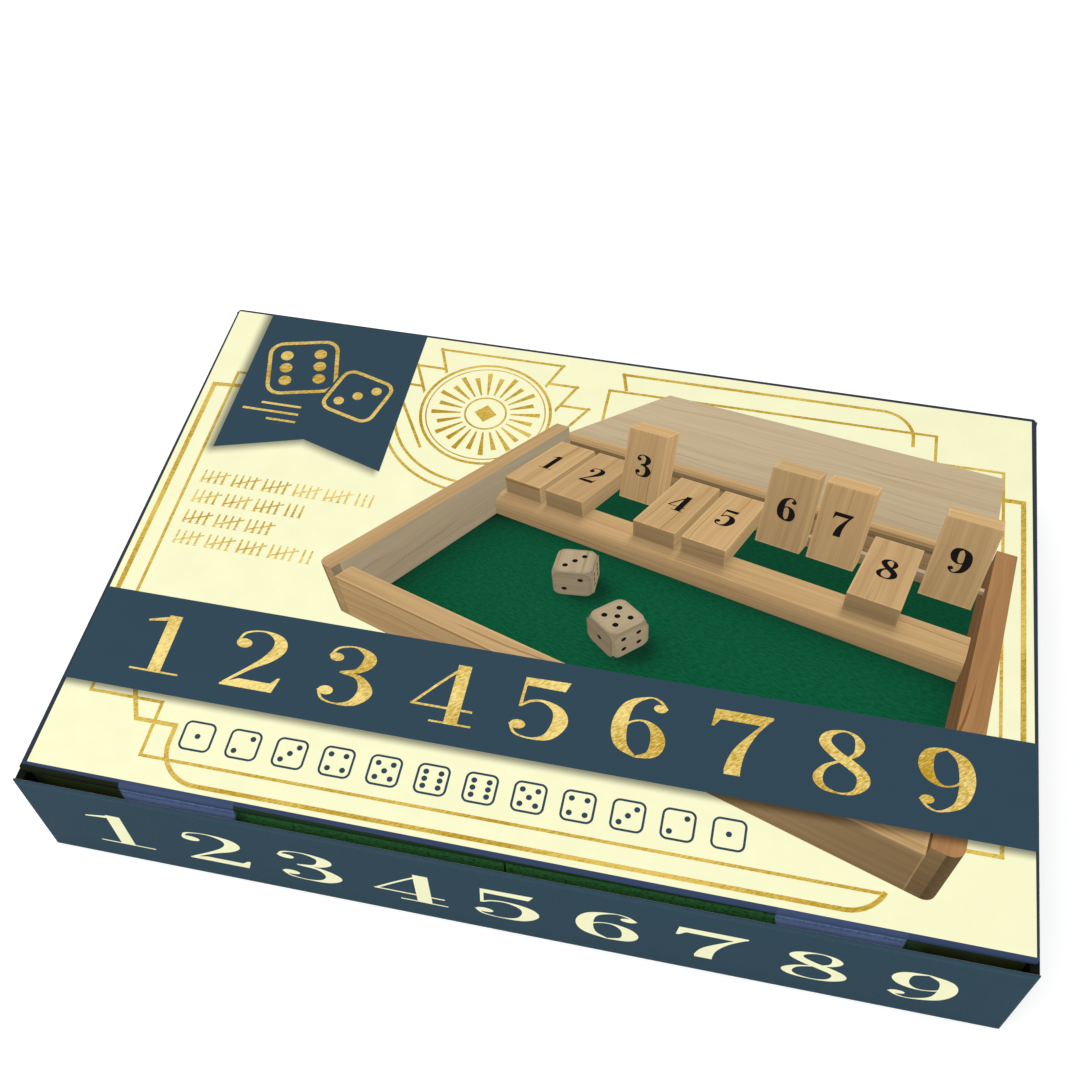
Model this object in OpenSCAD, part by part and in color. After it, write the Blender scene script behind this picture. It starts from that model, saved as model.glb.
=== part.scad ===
// Shut the box game in its printed card carton: a wooden box with a hinged lid,
// flip tiles on a steel rod, a felt floor and a pair of dice.
// Millimetres. Origin at the middle of the carton's underside, front towards -Y, up is +Z.

/* [Wooden box] */
// Width of the wooden box, side to side
box_w = 292; // [284:1:310]
// Depth of the wooden box, front to back
box_d = 193; // [188:1:210]
// Height of the two side walls
box_h = 42; // [40:0.5:48]
// Thickness of the four wooden walls
wall_t = 10; // [8:0.5:12]
// Radius of the side walls' front ends
end_round = 4; // [2:0.5:6]
// Softened edge on every wooden piece
ease = 1.2; // [0.6:0.1:1.8]
// Thickness of the bottom board
base_t = 3; // [2.5:0.5:4]
// Height of the bottom board's groove above the table side
base_up = 1.5; // [1:0.5:2.5]
// Depth of the groove that holds the bottom board
groove_deep = 4; // [3:0.5:5]
// Thickness of the felt
felt_t = 0.8; // [0.6:0.1:1.2]

/* [Wooden lid] */
// Thickness of the lid panel
lid_t = 9; // [7:0.5:10]
// How far the lid's square tail reaches behind its pins
lid_tail = 3.4; // [2.5:0.1:3.6]
// Diameter of the lid's steel pins
pin_d = 3; // [2.5:0.1:3.5]
// Length of each pin inside the lid
pin_reach = 12; // [8:1:20]

/* [Tiles] */
// Width of a tile
tile_w = 25; // [20:0.5:27]
// Thickness of a tile
tile_t = 12; // [10:0.5:13]
// Length of a tile ahead of the rod
tile_ahead = 33; // [30:0.5:36]
// Length of a tile behind the rod
tile_behind = 17; // [14:0.5:18]
// Diameter of the steel rod that carries the tiles
rod_d = 3; // [2.5:0.1:4]
// Depth to which the rod is let into each side wall
rod_seat = 6; // [3:0.5:7]
// Depth of the ledge that the tiles fall on, front to back
ledge_d = 16; // [12:0.5:18]
// How far a fallen tile lies over the ledge
ledge_lap = 7.5; // [6:0.5:10]

/* [Dice] */
// Size of a die across its flats
die_size = 16; // [14:0.5:18]
// Diameter of the ball that rounds a die's corners
die_ball = 22.8; // [21.6:0.1:24]
// Diameter of a pip at the surface
pip_d = 2.6; // [2:0.1:3]
// Depth of a pip
pip_deep = 0.7; // [0.4:0.1:1]
// First die, sideways from the middle of the tray
die_1_x = -62; // [-110:1:-50]
// Second die, sideways from the middle of the tray
die_2_x = -26; // [-110:1:-20]
// First die, from the front wall's inner face
die_1_y = 74; // [62:1:84]
// Second die, from the front wall's inner face
die_2_y = 36; // [20:1:48]
// Turn of the first die about the upright
die_1_turn = 18; // [-45:1:45]
// Turn of the second die about the upright
die_2_turn = -24; // [-45:1:45]

/* [Carton] */
// Thickness of the carton board
board_t = 1.2; // [0.8:0.1:1.5]
// Gap inside the rolled-over side walls
roll_gap = 0.2; // [0.1:0.1:0.6]
// How far the front wall stops below the top of the lid
front_drop = 1.4; // [1.2:0.1:4]
// Height of the lid's folded nose
nose_drop = 2; // [1.8:0.1:4]
// Outer radius of the fold between lid and nose
nose_round = 1.6; // [1.4:0.1:1.8]
// Radius of the lid's corners in plan
lid_corner = 2.5; // [1:0.5:5]
// Width of a lock tab
tab_w = 36; // [30:1:45]
// Length of a lock tab below its crease
tab_reach = 16; // [12:0.5:18]
// Slope of each tab's inner edge, sideways over its length
tab_taper = 3; // [0:0.5:5]
// Middle of the left lock tab, from the left end of the lid
tab_left_in = 50; // [35:0.5:70]
// Middle of the right lock tab, from the right end of the lid
tab_right_in = 53.3; // [35:0.1:70]
// Length of the short corner flaps at the back
back_flap_w = 70; // [40:1:120]
// Height of the short corner flaps at the back
back_flap_h = 38; // [25:1:42]

/* [Clearances] */
// Gap all round a steel pin or rod in the wood that turns on it
running = 0.05; // [0.02:0.01:0.1]
// Gap beside the lid, between the side walls
lid_side_gap = 0.4; // [0.3:0.1:0.8]
// Gap between the shut lid and the front wall
lid_rest_gap = 0.1; // [0.05:0.05:0.4]
// Gap between the lid's round edge and the back wall
lid_turn_gap = 0.5; // [0.4:0.1:0.6]
// Gap between a turning tile and the felt
tile_floor_gap = 1.2; // [0.8:0.1:2]
// Gap between a turning tile and the back wall
tile_back_gap = 0.5; // [0.4:0.1:1.5]
// Gap between a fallen tile and the ledge
tile_rest_gap = 0.2; // [0.1:0.1:0.5]
// Room at each end of the row of tiles
tile_end_gap = 1; // [0.5:0.5:3]
// Room round the bottom board and the felt
board_gap = 0.2; // [0.1:0.1:0.5]
// Room at each side of the wooden box in the carton
side_room = 1.4; // [0.8:0.1:3]
// Room above the wooden box in the carton
head_room = 1.6; // [1.4:0.1:5]
// Room in front of the wooden box
front_room = 0.5; // [0.3:0.1:2]
// Room behind the wooden box
back_room = 0.8; // [0.5:0.1:2]
// Room for the lock tabs behind the front wall
tab_room = 2.8; // [2:0.1:3.4]
// Gap round the lid's nose where the side walls are cut away for it
nose_gap = 0.4; // [0.3:0.1:1]
// Gap between the lock tabs and the front corner flaps
flap_gap = 0.4; // [0.3:0.1:1]
// Gap between the two front corner flaps
flap_split = 0.6; // [0.4:0.1:3]
// Gap under the lid and at its creases
crease_gap = 0.1; // [0.05:0.05:0.2]
// How far the lid stops short of the carton's sides
lid_inset = 0.5; // [0.2:0.1:1]

/* [Hidden] */
$fn = 64;

// Colours of the printed board, the woods, the felt and the steel
cream = [0.98, 0.98, 0.81];
slate = [0.2, 0.29, 0.34];
navy = [0.25, 0.3, 0.43];
card_green = [0.08, 0.2, 0.1];
pale_wood = [0.74, 0.66, 0.53];
warm_wood = [0.72, 0.55, 0.36];
tile_wood = [0.76, 0.6, 0.4];
felt_green = [0.04, 0.36, 0.24];
steel = [0.6, 0.6, 0.6];

// The wooden box, measured from its own front face and underside
tile_count = 9;
inner_w = box_w - 2 * wall_t;
inner_back = box_d - wall_t;
base_top = base_up + base_t;
felt_top = base_top + felt_t;
front_h = box_h - lid_t - lid_rest_gap;

// The lid turns on pins at half its thickness, above the back wall's inner face
pivot_y = inner_back;
pivot_z = box_h - lid_t / 2;
back_h = pivot_z - lid_t / 2 - lid_turn_gap;

// The rod stands where a tile's rear corners just clear the back wall and the felt
tile_l = tile_ahead + tile_behind;
tile_sweep = sqrt(pow(tile_behind, 2) + pow(tile_t / 2, 2));
rod_y = inner_back - tile_back_gap - tile_sweep;
rod_z = felt_top + tile_floor_gap + tile_sweep;
tile_pitch = (inner_w - 2 * tile_end_gap) / tile_count;
ledge_y = rod_y - tile_ahead + ledge_lap - ledge_d;
ledge_h = rod_z - tile_t / 2 - tile_rest_gap - felt_top;
ledge_round = 5;
ledge_foot_round = 4;

// The carton goes round the wooden box
side_t = 2 * board_t + roll_gap;
carton_w = box_w + 2 * (side_room + side_t);
nose_setback = board_t + tab_room;
flap_setback = nose_setback + board_t + flap_gap;
front_stack = flap_setback + board_t + front_room;
carton_d = front_stack + box_d + back_room + 2 * board_t;
carton_h = box_h + head_room + 2 * board_t;
front_y = -carton_d / 2;
back_y = carton_d / 2;
side_top = carton_h - board_t - 2 * crease_gap;
front_top = carton_h - front_drop;
lid_w = carton_w - 2 * lid_inset;
hinge_y = back_y - board_t / 2;
hinge_z = carton_h - board_t / 2;
nose_y = front_y + nose_setback;
nose_z = carton_h - nose_drop;
crease_y = nose_y + board_t / 2;
crease_z = nose_z - crease_gap - board_t / 2;
board_round = 0.49 * board_t;
outer_round = 0.8 * board_t;
flap_corner = 6;

// One rounded corner to take off a flat shape: sx and sy point into the shape
module corner_waste(x, y, sx, sy, r) {
    translate([x, y])
        difference() {
            translate([sx > 0 ? -1 : -r, sy > 0 ? -1 : -r]) square(r + 1);
            translate([sx * r, sy * r]) circle(r = r);
        }
}

// Flat rectangle with its own radius at each corner, anticlockwise from the origin
module panel(w, h, r) {
    difference() {
        square([w, h]);
        if (r[0] > 0) corner_waste(0, 0, 1, 1, r[0]);
        if (r[1] > 0) corner_waste(w, 0, -1, 1, r[1]);
        if (r[2] > 0) corner_waste(w, h, -1, -1, r[2]);
        if (r[3] > 0) corner_waste(0, h, 1, -1, r[3]);
    }
}

// Stand a flat shape up as a bar along X or along Y
module along_x(w) { rotate([90, 0, 90]) linear_extrude(w) children(); }
module along_y(d) { translate([0, d, 0]) rotate([90, 0, 0]) linear_extrude(d) children(); }

// Block with every edge eased by r; side_r sets the four corners of its side outline
module eased_block(w, d, h, r, side_r = undef) {
    profile_r = is_undef(side_r) ? [r, r, r, r] : side_r;
    intersection() {
        linear_extrude(h) panel(w, d, [r, r, r, r]);
        along_x(w) panel(d, h, profile_r);
        along_y(d) panel(w, h, [r, r, r, r]);
    }
}

// Bar between the side walls, cut square at its ends
module bar(d, h, r) {
    translate([-inner_w / 2, 0, 0]) along_x(inner_w) panel(d, h, r);
}

module on_left() { mirror([1, 0, 0]) children(); }
module in_box() { translate([0, front_y + front_stack, board_t]) children(); }
module rod_along_x(d, l) { translate([-l / 2, 0, 0]) rotate([0, 90, 0]) cylinder(d = d, h = l); }

// Carton: bottom, walls and corner flaps, all creased from one sheet of board
module carton_base() {
    r = outer_round;
    color(slate)
        translate([-carton_w / 2, front_y, 0])
            intersection() {
                linear_extrude(board_t) panel(carton_w, carton_d, [r, r, r, r]);
                along_x(carton_w) panel(carton_d, board_t, [r, r, 0, 0]);
                along_y(carton_d) panel(carton_w, board_t, [r, r, 0, 0]);
            }
}

module carton_front_wall() {
    r = board_round;
    color(slate)
        translate([-carton_w / 2, front_y, board_t])
            intersection() {
                linear_extrude(front_top) panel(carton_w, board_t, [outer_round, outer_round, 0, 0]);
                along_x(carton_w) panel(board_t, front_top - board_t, [0, 0, r, r]);
            }
}

module carton_back_wall() {
    wall_h = hinge_z - board_t / 2 - crease_gap - board_t;
    color(slate)
        translate([-carton_w / 2, back_y - board_t, board_t])
            linear_extrude(wall_h) panel(carton_w, board_t, [0, 0, outer_round, outer_round]);
}

// Side wall rolled over at the top, so that it is two boards thick, with its front
// corner cut away for the lid's nose
module rolled_wall() {
    wall_h = side_top - board_t;
    wall_y = front_y + board_t;
    slot_r = roll_gap / 2;
    notch_y = nose_y + board_t + nose_gap - wall_y;
    notch_z = nose_z - nose_gap - board_t;
    color(slate)
        translate([carton_w / 2 - side_t, wall_y, board_t])
            difference() {
                along_y(carton_d - 2 * board_t)
                    difference() {
                        panel(side_t, wall_h, [0, 0, 0.49 * side_t, 0.49 * side_t]);
                        translate([board_t, -1]) square([roll_gap, wall_h - board_t - slot_r + 1]);
                        translate([board_t + slot_r, wall_h - board_t - slot_r]) circle(r = slot_r);
                    }
                translate([-1, -1, notch_z]) cube([side_t + 2, notch_y + 1, wall_h]);
            }
}

module carton_left_wall() { on_left() rolled_wall(); }
module carton_right_wall() { rolled_wall(); }

// Corner flap behind the front wall; the two nearly meet at the middle
module front_flap() {
    w = carton_w / 2 - side_t - flap_split / 2;
    r = board_round;
    color(card_green)
        translate([flap_split / 2, front_y + flap_setback, board_t])
            intersection() {
                along_x(w) panel(board_t, side_top - board_t - crease_gap, [0, 0, r, r]);
                along_y(board_t)
                    panel(w, side_top - board_t - crease_gap, [0, 0, 0, ease]);
            }
}

module front_flap_left() { on_left() front_flap(); }
module front_flap_right() { front_flap(); }

module back_flap() {
    color(card_green)
        translate([carton_w / 2 - side_t - back_flap_w, back_y - 2 * board_t, board_t])
            along_y(board_t) panel(back_flap_w, back_flap_h, [0, 0, 0, flap_corner]);
}

module back_flap_left() { on_left() back_flap(); }
module back_flap_right() { back_flap(); }

// Lid in section: a round bead on the hinge line, the top, the fold and the nose
module lid_section() {
    fold_y = nose_y + nose_round;
    fold_z = carton_h - nose_round;
    translate([fold_y, carton_h - board_t]) square([hinge_y - fold_y, board_t]);
    translate([hinge_y, hinge_z]) circle(d = board_t);
    translate([nose_y, nose_z]) square([board_t, fold_z - nose_z]);
    translate([fold_y, fold_z])
        intersection() {
            difference() {
                circle(r = nose_round);
                circle(r = nose_round - board_t);
            }
            translate([-nose_round, 0]) square(nose_round);
        }
}

module carton_lid() {
    edge = outer_round;
    color(cream)
        translate([-lid_w / 2, 0, 0])
            intersection() {
                along_x(lid_w) lid_section();
                translate([0, nose_y, 0])
                    linear_extrude(carton_h)
                        panel(lid_w, back_y - nose_y, [ease, ease, lid_corner, lid_corner]);
                translate([0, nose_y, 0])
                    along_y(carton_d) panel(lid_w, carton_h, [0, 0, edge, edge]);
            }
}

// Lock tab: round at its crease, tapered along its inner edge, rounded at its outer tip
module lock_tab() {
    tip = 5;
    color(navy)
        translate([-tab_w / 2, crease_y, crease_z])
            intersection() {
                union() {
                    along_x(tab_w) circle(d = board_t);
                    translate([0, -board_t / 2, -tab_reach]) cube([tab_w, board_t, tab_reach]);
                }
                translate([0, -board_t / 2, 0])
                    along_y(board_t)
                        difference() {
                            translate([0, -tab_reach]) panel(tab_w, tab_reach + board_t, [1, tip, 0, 0]);
                            polygon([[0, -2], [tab_taper, -tab_reach - 1], [-1, -tab_reach - 1], [-1, -2]]);
                        }
            }
}

module lock_tab_left() { translate([tab_left_in - lid_w / 2, 0, 0]) on_left() lock_tab(); }
module lock_tab_right() { translate([lid_w / 2 - tab_right_in, 0, 0]) lock_tab(); }

// Wooden box: the bottom board sits in a groove run round the four walls
module base_groove(extra) {
    translate([-inner_w / 2 - groove_deep - extra, wall_t - groove_deep, base_up])
        cube([inner_w + 2 * (groove_deep + extra), inner_back - wall_t + 2 * groove_deep,
              base_t + board_gap]);
}

module box_base() {
    w = inner_w + 2 * (groove_deep - board_gap);
    d = inner_back - wall_t + 2 * (groove_deep - board_gap);
    color(pale_wood)
        in_box() translate([-w / 2, wall_t - groove_deep + board_gap, base_up]) cube([w, d, base_t]);
}

module box_felt() {
    w = inner_w - 2 * board_gap;
    d = inner_back - wall_t - 2 * board_gap;
    color(felt_green)
        in_box() translate([-w / 2, wall_t + board_gap, base_top]) cube([w, d, felt_t]);
}

// Right-hand side wall, drilled for the rod and the lid pin
module side_wall() {
    color(warm_wood)
        in_box()
            difference() {
                translate([inner_w / 2, 0, 0])
                    eased_block(wall_t, box_d, box_h, ease, [end_round, ease, ease, end_round]);
                base_groove(0);
                translate([0, rod_y, rod_z]) rod_along_x(rod_d, inner_w + 2 * rod_seat);
                translate([0, pivot_y, pivot_z]) rod_along_x(pin_d, box_w + 2);
            }
}

module box_left_side() { on_left() side_wall(); }
module box_right_side() { side_wall(); }

module box_front_wall() {
    color(warm_wood)
        in_box() difference() {
            bar(wall_t, front_h, [ease, 0, ease, ease]);
            base_groove(1);
        }
}

module box_back_wall() {
    color(warm_wood)
        in_box() difference() {
            translate([0, inner_back, 0]) bar(wall_t, back_h, [0, ease, 2 * ease, 2 * ease]);
            base_groove(1);
        }
}

// Ledge with a round nose, on which the tiles fall
module tile_ledge() {
    color(warm_wood)
        in_box() translate([0, ledge_y, felt_top])
            bar(ledge_d, ledge_h, [ledge_foot_round, 0, ease, ledge_round]);
}

// Lid panel: its lower rear edge is round about the pins, its upper one is square,
// and meets the back wall when the lid has opened far enough
module box_lid() {
    w = inner_w - 2 * lid_side_gap;
    bore_l = pin_reach + lid_side_gap + ease;
    color(pale_wood)
        in_box()
            difference() {
                intersection() {
                    translate([-w / 2, 0, 0])
                        along_x(w)
                            union() {
                                translate([0, box_h - lid_t])
                                    panel(pivot_y, lid_t, [ease, 0, 0, ease]);
                                translate([pivot_y, pivot_z])
                                    intersection() {
                                        union() {
                                            circle(d = lid_t);
                                            square([lid_t, lid_t / 2]);
                                        }
                                        translate([-lid_t, -lid_t / 2]) square([lid_t + lid_tail, lid_t]);
                                    }
                            }
                    translate([-w / 2, 0, 0])
                        linear_extrude(box_h) panel(w, box_d, [ease, ease, 0, 0]);
                }
                for (side = [-1, 1])
                    translate([side * (inner_w - bore_l) / 2, pivot_y, pivot_z])
                        rod_along_x(pin_d + 2 * running, bore_l);
            }
}

// Steel pin, driven in flush with the outside of the wall
module lid_pin() {
    pin_l = wall_t + pin_reach;
    color(steel)
        in_box() translate([(box_w - pin_l) / 2, pivot_y, pivot_z]) rod_along_x(pin_d, pin_l);
}

module lid_pin_left() { on_left() lid_pin(); }
module lid_pin_right() { lid_pin(); }

module tile_rod() {
    color(steel)
        in_box() translate([0, rod_y, rod_z]) rod_along_x(rod_d, inner_w + 2 * rod_seat);
}

// Tile number n, counted from the left, lying forward on the ledge
module tile(n) {
    x = (n - (tile_count + 1) / 2) * tile_pitch;
    color(tile_wood)
        in_box()
            translate([x, rod_y, rod_z])
                difference() {
                    translate([-tile_w / 2, -tile_ahead, -tile_t / 2])
                        eased_block(tile_w, tile_l, tile_t, ease);
                    rod_along_x(rod_d + 2 * running, tile_w + 2);
                }
}

// Places of the pips on a face with n of them, in steps from its middle
function pips(n) = concat(
    n % 2 == 1 ? [[0, 0]] : [],
    n > 1 ? [[-1, -1], [1, 1]] : [],
    n > 3 ? [[-1, 1], [1, -1]] : [],
    n > 5 ? [[-1, 0], [1, 0]] : []
);

// Die with drilled pips; opposite faces add up to seven, and tip turns one face up
module die(tip) {
    pip_ball = (pow(pip_d / 2, 2) + pow(pip_deep, 2)) / (2 * pip_deep);
    pip_step = die_size / 4;
    faces = [[1, [0, 0, 0]], [6, [180, 0, 0]], [2, [90, 0, 0]],
             [5, [-90, 0, 0]], [3, [0, 90, 0]], [4, [0, -90, 0]]];
    color(tile_wood)
        rotate(tip)
            difference() {
                intersection() {
                    cube(die_size, center = true);
                    sphere(d = die_ball, $fn = 96);
                }
                for (face = faces, p = pips(face[0]))
                    rotate(face[1])
                        translate([pip_step * p[0], pip_step * p[1], die_size / 2 - pip_deep + pip_ball])
                            sphere(r = pip_ball, $fn = 32);
            }
}

module on_felt(x, y, turn) {
    in_box() translate([x, wall_t + y, felt_top + die_size / 2]) rotate([0, 0, turn]) children();
}

module die_1() { on_felt(die_1_x, die_1_y, die_1_turn) die([90, 0, 0]); }
module die_2() { on_felt(die_2_x, die_2_y, die_2_turn) die([0, 0, 90]); }

carton_base();
carton_front_wall();
carton_back_wall();
carton_left_wall();
carton_right_wall();
front_flap_left();
front_flap_right();
back_flap_left();
back_flap_right();
carton_lid();
lock_tab_left();
lock_tab_right();
box_base();
box_felt();
box_left_side();
box_right_side();
box_front_wall();
box_back_wall();
tile_ledge();
box_lid();
lid_pin_left();
lid_pin_right();
tile_rod();
tile(1);  // tile_1
tile(2);  // tile_2
tile(3);  // tile_3
tile(4);  // tile_4
tile(5);  // tile_5
tile(6);  // tile_6
tile(7);  // tile_7
tile(8);  // tile_8
tile(9);  // tile_9
die_1();
die_2();
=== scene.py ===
import math

import bpy
import numpy as np
from mathutils import Matrix, Vector
from mathutils.geometry import delaunay_2d_cdt


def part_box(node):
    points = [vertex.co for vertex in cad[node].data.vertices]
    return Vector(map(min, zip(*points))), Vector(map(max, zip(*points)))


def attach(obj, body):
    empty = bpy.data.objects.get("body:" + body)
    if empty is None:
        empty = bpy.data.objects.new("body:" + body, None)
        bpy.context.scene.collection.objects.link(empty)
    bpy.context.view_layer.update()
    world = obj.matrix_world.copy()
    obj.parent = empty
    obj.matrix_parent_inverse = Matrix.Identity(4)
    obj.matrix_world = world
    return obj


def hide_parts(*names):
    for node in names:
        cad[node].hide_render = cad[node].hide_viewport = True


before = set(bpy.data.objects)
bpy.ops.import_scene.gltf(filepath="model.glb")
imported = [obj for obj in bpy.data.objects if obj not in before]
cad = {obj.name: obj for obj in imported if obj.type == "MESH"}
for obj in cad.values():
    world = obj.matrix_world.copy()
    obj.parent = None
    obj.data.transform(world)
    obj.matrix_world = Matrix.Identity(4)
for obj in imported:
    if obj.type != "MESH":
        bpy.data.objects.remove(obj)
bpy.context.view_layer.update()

mm = 0.001
frontY, backY, lidTop = -101.75, 101.75, 46.0      # the carton's faces, in mm
print("frame loaded:", len(cad), "nodes")


# ---- shader tools ----

# An sRGB colour in 0 to 255 as the linear colour that a shader takes
def paint(red, green, blue):
    value = np.array([red, green, blue]) / 255
    linear = np.where(value <= 0.04045, value / 12.92, ((value + 0.055) / 1.055) ** 2.4)
    return (*linear.tolist(), 1.0)


# Adds a shader node; inputs are sockets to link or plain values
def put(tree, kind, inputs=None, **settings):
    node = tree.nodes.new("ShaderNode" + kind)
    for key, value in settings.items():
        setattr(node, key, value)
    for key, value in (inputs or {}).items():
        if isinstance(value, bpy.types.NodeSocket):
            tree.links.new(value, node.inputs[key])
        else:
            node.inputs[key].default_value = value
    return node


def calc(tree, operation, *values, clamp=False):
    return put(tree, "Math", dict(enumerate(values)), operation=operation, use_clamp=clamp).outputs[0]


# Eased step from start to stop as value goes from low to high
def span(tree, value, low, high, start=0.0, stop=1.0, kind="SMOOTHSTEP"):
    ends = {"Value": value, "From Min": low, "From Max": high, "To Min": start, "To Max": stop}
    return put(tree, "MapRange", ends, interpolation_type=kind).outputs[0]


def mixed(tree, factor, first, second, blend="MIX"):
    node = put(tree, "Mix", {0: factor, 6: first, 7: second}, data_type="RGBA", blend_type=blend)
    return node.outputs[2]


def noise(tree, place, scale, detail=2.0, rough=0.5, stretch=None):
    if stretch:
        place = put(tree, "VectorMath", {0: place, 1: stretch}, operation="MULTIPLY").outputs[0]
    return put(tree, "TexNoise", {"Vector": place, "Scale": scale, "Detail": detail, "Roughness": rough}).outputs["Fac"]


# Object coordinates in millimetres
def placeInMm(tree):
    there = put(tree, "TexCoord").outputs["Object"]
    return put(tree, "VectorMath", {0: there, "Scale": 1000.0}, operation="SCALE").outputs[0]


def split(tree, place):
    return put(tree, "SeparateXYZ", {0: place}).outputs


def startGroup(name, inputs, outputs):
    tree = bpy.data.node_groups.new(name, "ShaderNodeTree")
    for title, kind, value in inputs:
        socket = tree.interface.new_socket(title, in_out="INPUT", socket_type="NodeSocket" + kind)
        if value is not None:
            socket.default_value = value
    for title in outputs:
        tree.interface.new_socket(title, in_out="OUTPUT", socket_type="NodeSocketFloat")
    return tree, tree.nodes.new("NodeGroupInput").outputs, tree.nodes.new("NodeGroupOutput").inputs


def useGroup(tree, group, inputs):
    node = put(tree, "Group", node_tree=group)
    for key, value in inputs.items():
        if isinstance(value, bpy.types.NodeSocket):
            tree.links.new(value, node.inputs[key])
        else:
            node.inputs[key].default_value = value
    return node.outputs


# A material with one Principled shader; colour, rough and height are sockets, the rest are plain values
def finishMaterial(name, build, **plain):
    material = bpy.data.materials.new(name)
    material.use_nodes = True
    tree = material.node_tree
    tree.nodes.clear()
    shader = put(tree, "BsdfPrincipled")
    for key, value in plain.items():
        shader.inputs[key.replace("_", " ")].default_value = value
    made = build(tree)
    for key in ("Base Color", "Roughness", "Metallic"):
        if key in made:
            if isinstance(made[key], bpy.types.NodeSocket):
                tree.links.new(made[key], shader.inputs[key])
            else:
                shader.inputs[key].default_value = made[key]
    if "Height" in made:
        bump = put(tree, "Bump", {"Height": made["Height"], "Distance": made.get("Depth", 0.0001), "Strength": made.get("Bump", 0.5)})
        tree.links.new(bump.outputs[0], shader.inputs["Normal"])
    out = put(tree, "OutputMaterial")
    tree.links.new(shader.outputs[0], out.inputs[0])
    return material


# Wood cut from round timber, grain along X: growth rings about a far pith, fibres and pores
def woodGroup():
    tree, given, result = startGroup(
        "woodGrain",
        [("Place", "Vector", None), ("Spacing", "Float", 4.0), ("Pith", "Float", 45.0), ("Slope", "Float", 0.02), ("Swing", "Float", 9.0)],
        ["Rings", "Fibres", "Pores", "Blotch"])
    place = given["Place"]
    x, y, z = split(tree, place)
    bend = noise(tree, place, 1.0, 2.0, 0.5, (0.006, 0.022, 0.022))
    ripple = noise(tree, place, 1.0, 1.0, 0.5, (0.03, 0.12, 0.12))
    across = calc(tree, "ADD", y, given["Pith"])
    radius = calc(tree, "SQRT", calc(tree, "ADD", calc(tree, "MULTIPLY", across, across), calc(tree, "MULTIPLY", z, z)))
    radius = calc(tree, "MULTIPLY_ADD", x, given["Slope"], radius)
    radius = calc(tree, "MULTIPLY_ADD", bend, given["Swing"], radius)
    radius = calc(tree, "MULTIPLY_ADD", ripple, 1.2, radius)
    turn = calc(tree, "FRACT", calc(tree, "DIVIDE", radius, given["Spacing"]))
    late = calc(tree, "POWER", turn, 2.2)
    fall = span(tree, turn, 0.86, 1.0, 1.0, 0.0)
    tree.links.new(calc(tree, "MULTIPLY", late, fall), result["Rings"])
    fibres = noise(tree, place, 1.0, 3.0, 0.6, (0.05, 1.7, 1.7))
    tree.links.new(fibres, result["Fibres"])
    pores = noise(tree, place, 1.0, 1.0, 0.5, (0.16, 4.2, 4.2))
    tree.links.new(span(tree, pores, 0.62, 0.74), result["Pores"])
    tree.links.new(noise(tree, place, 1.0, 2.0, 0.5, (0.012, 0.035, 0.035)), result["Blotch"])
    return tree


# Paper on board: cloudy tone, short fibres and a fine tooth
def paperGroup():
    tree, given, result = startGroup("paperTooth", [("Place", "Vector", None)], ["Cloud", "Tooth"])
    place = given["Place"]
    tree.links.new(noise(tree, place, 0.09, 3.0, 0.6), result["Cloud"])
    fine = noise(tree, place, 3.2, 3.0, 0.65)
    fibres = noise(tree, place, 1.0, 2.0, 0.5, (0.9, 3.4, 2.0))
    tree.links.new(calc(tree, "MULTIPLY_ADD", fine, 0.6, calc(tree, "MULTIPLY", fibres, 0.4)), result["Tooth"])
    return tree


# Chips of bare board along an edge; Edge is 1 on the edge and 0 away from it
def chipGroup():
    tree, given, result = startGroup("edgeChips", [("Place", "Vector", None), ("Edge", "Float", 0.0), ("Amount", "Float", 0.5)], ["Chip"])
    rub = noise(tree, given["Place"], 0.55, 4.0, 0.7)
    reach = calc(tree, "MULTIPLY", given["Edge"], given["Amount"])
    tree.links.new(span(tree, calc(tree, "ADD", rub, reach), 0.98, 1.06), result["Chip"])
    return tree


# Soft printed shadows on the lid round the title band and the pennant: 1 in full light
def printShadeGroup():
    tree, given, result = startGroup("printShadow", [("Place", "Vector", None)], ["Light"])
    x, y, z = split(tree, given["Place"])
    below = span(tree, y, sheet["bandLow"] + frontY - 3.6, sheet["bandLow"] + frontY, 0.0, 0.70)
    band = calc(tree, "MULTIPLY", below, calc(tree, "LESS_THAN", y, sheet["bandLow"] + frontY))
    left, right, foot, notch = sheet["pennant"]
    middle = (left + right) / 2 - 150
    half = (right - left) / 2
    off = calc(tree, "ABSOLUTE", calc(tree, "SUBTRACT", x, middle))
    leftward = span(tree, x, middle - half - 4.6, middle - half)
    sides = calc(tree, "MULTIPLY", leftward, span(tree, x, middle + half + 0.6, middle + half - 2.5))
    rise = span(tree, off, 0.0, half, notch - foot, 0.0, "LINEAR")
    base = calc(tree, "ADD", rise, foot + frontY)
    height = calc(tree, "SUBTRACT", y, base)
    flag = calc(tree, "MULTIPLY", calc(tree, "MULTIPLY", span(tree, height, -4.8, 0.8), sides), 0.70)
    dark = calc(tree, "MAXIMUM", band, flag)
    tree.links.new(calc(tree, "SUBTRACT", 1.0, dark), result["Light"])
    return tree


# Places on the lid print, in mm from the carton's left end and front face
sheet = {"bandLow": 36.4, "bandHigh": 71.6, "pennant": (14.9, 76.0, 135.6, 144.8)}
woodGrain, paperTooth, edgeChips, printShadow = woodGroup(), paperGroup(), chipGroup(), printShadeGroup()

# Inks; the walls' slate is a darker copy of the print's slate, painted shade, and the bright green is painted light for
# the flaps in the shaded slot behind the front wall
inks = {
    "cream": paint(252, 251, 208), "slate": paint(49, 72, 86), "navy": paint(53, 67, 98),
    "green": paint(108, 208, 126), "greenDark": paint(78, 92, 54),
    "bareBoard": paint(203, 197, 184), "core": paint(236, 232, 222),
    "black": paint(18, 16, 15), "shadedSlate": paint(33, 62, 77),
}


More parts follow.
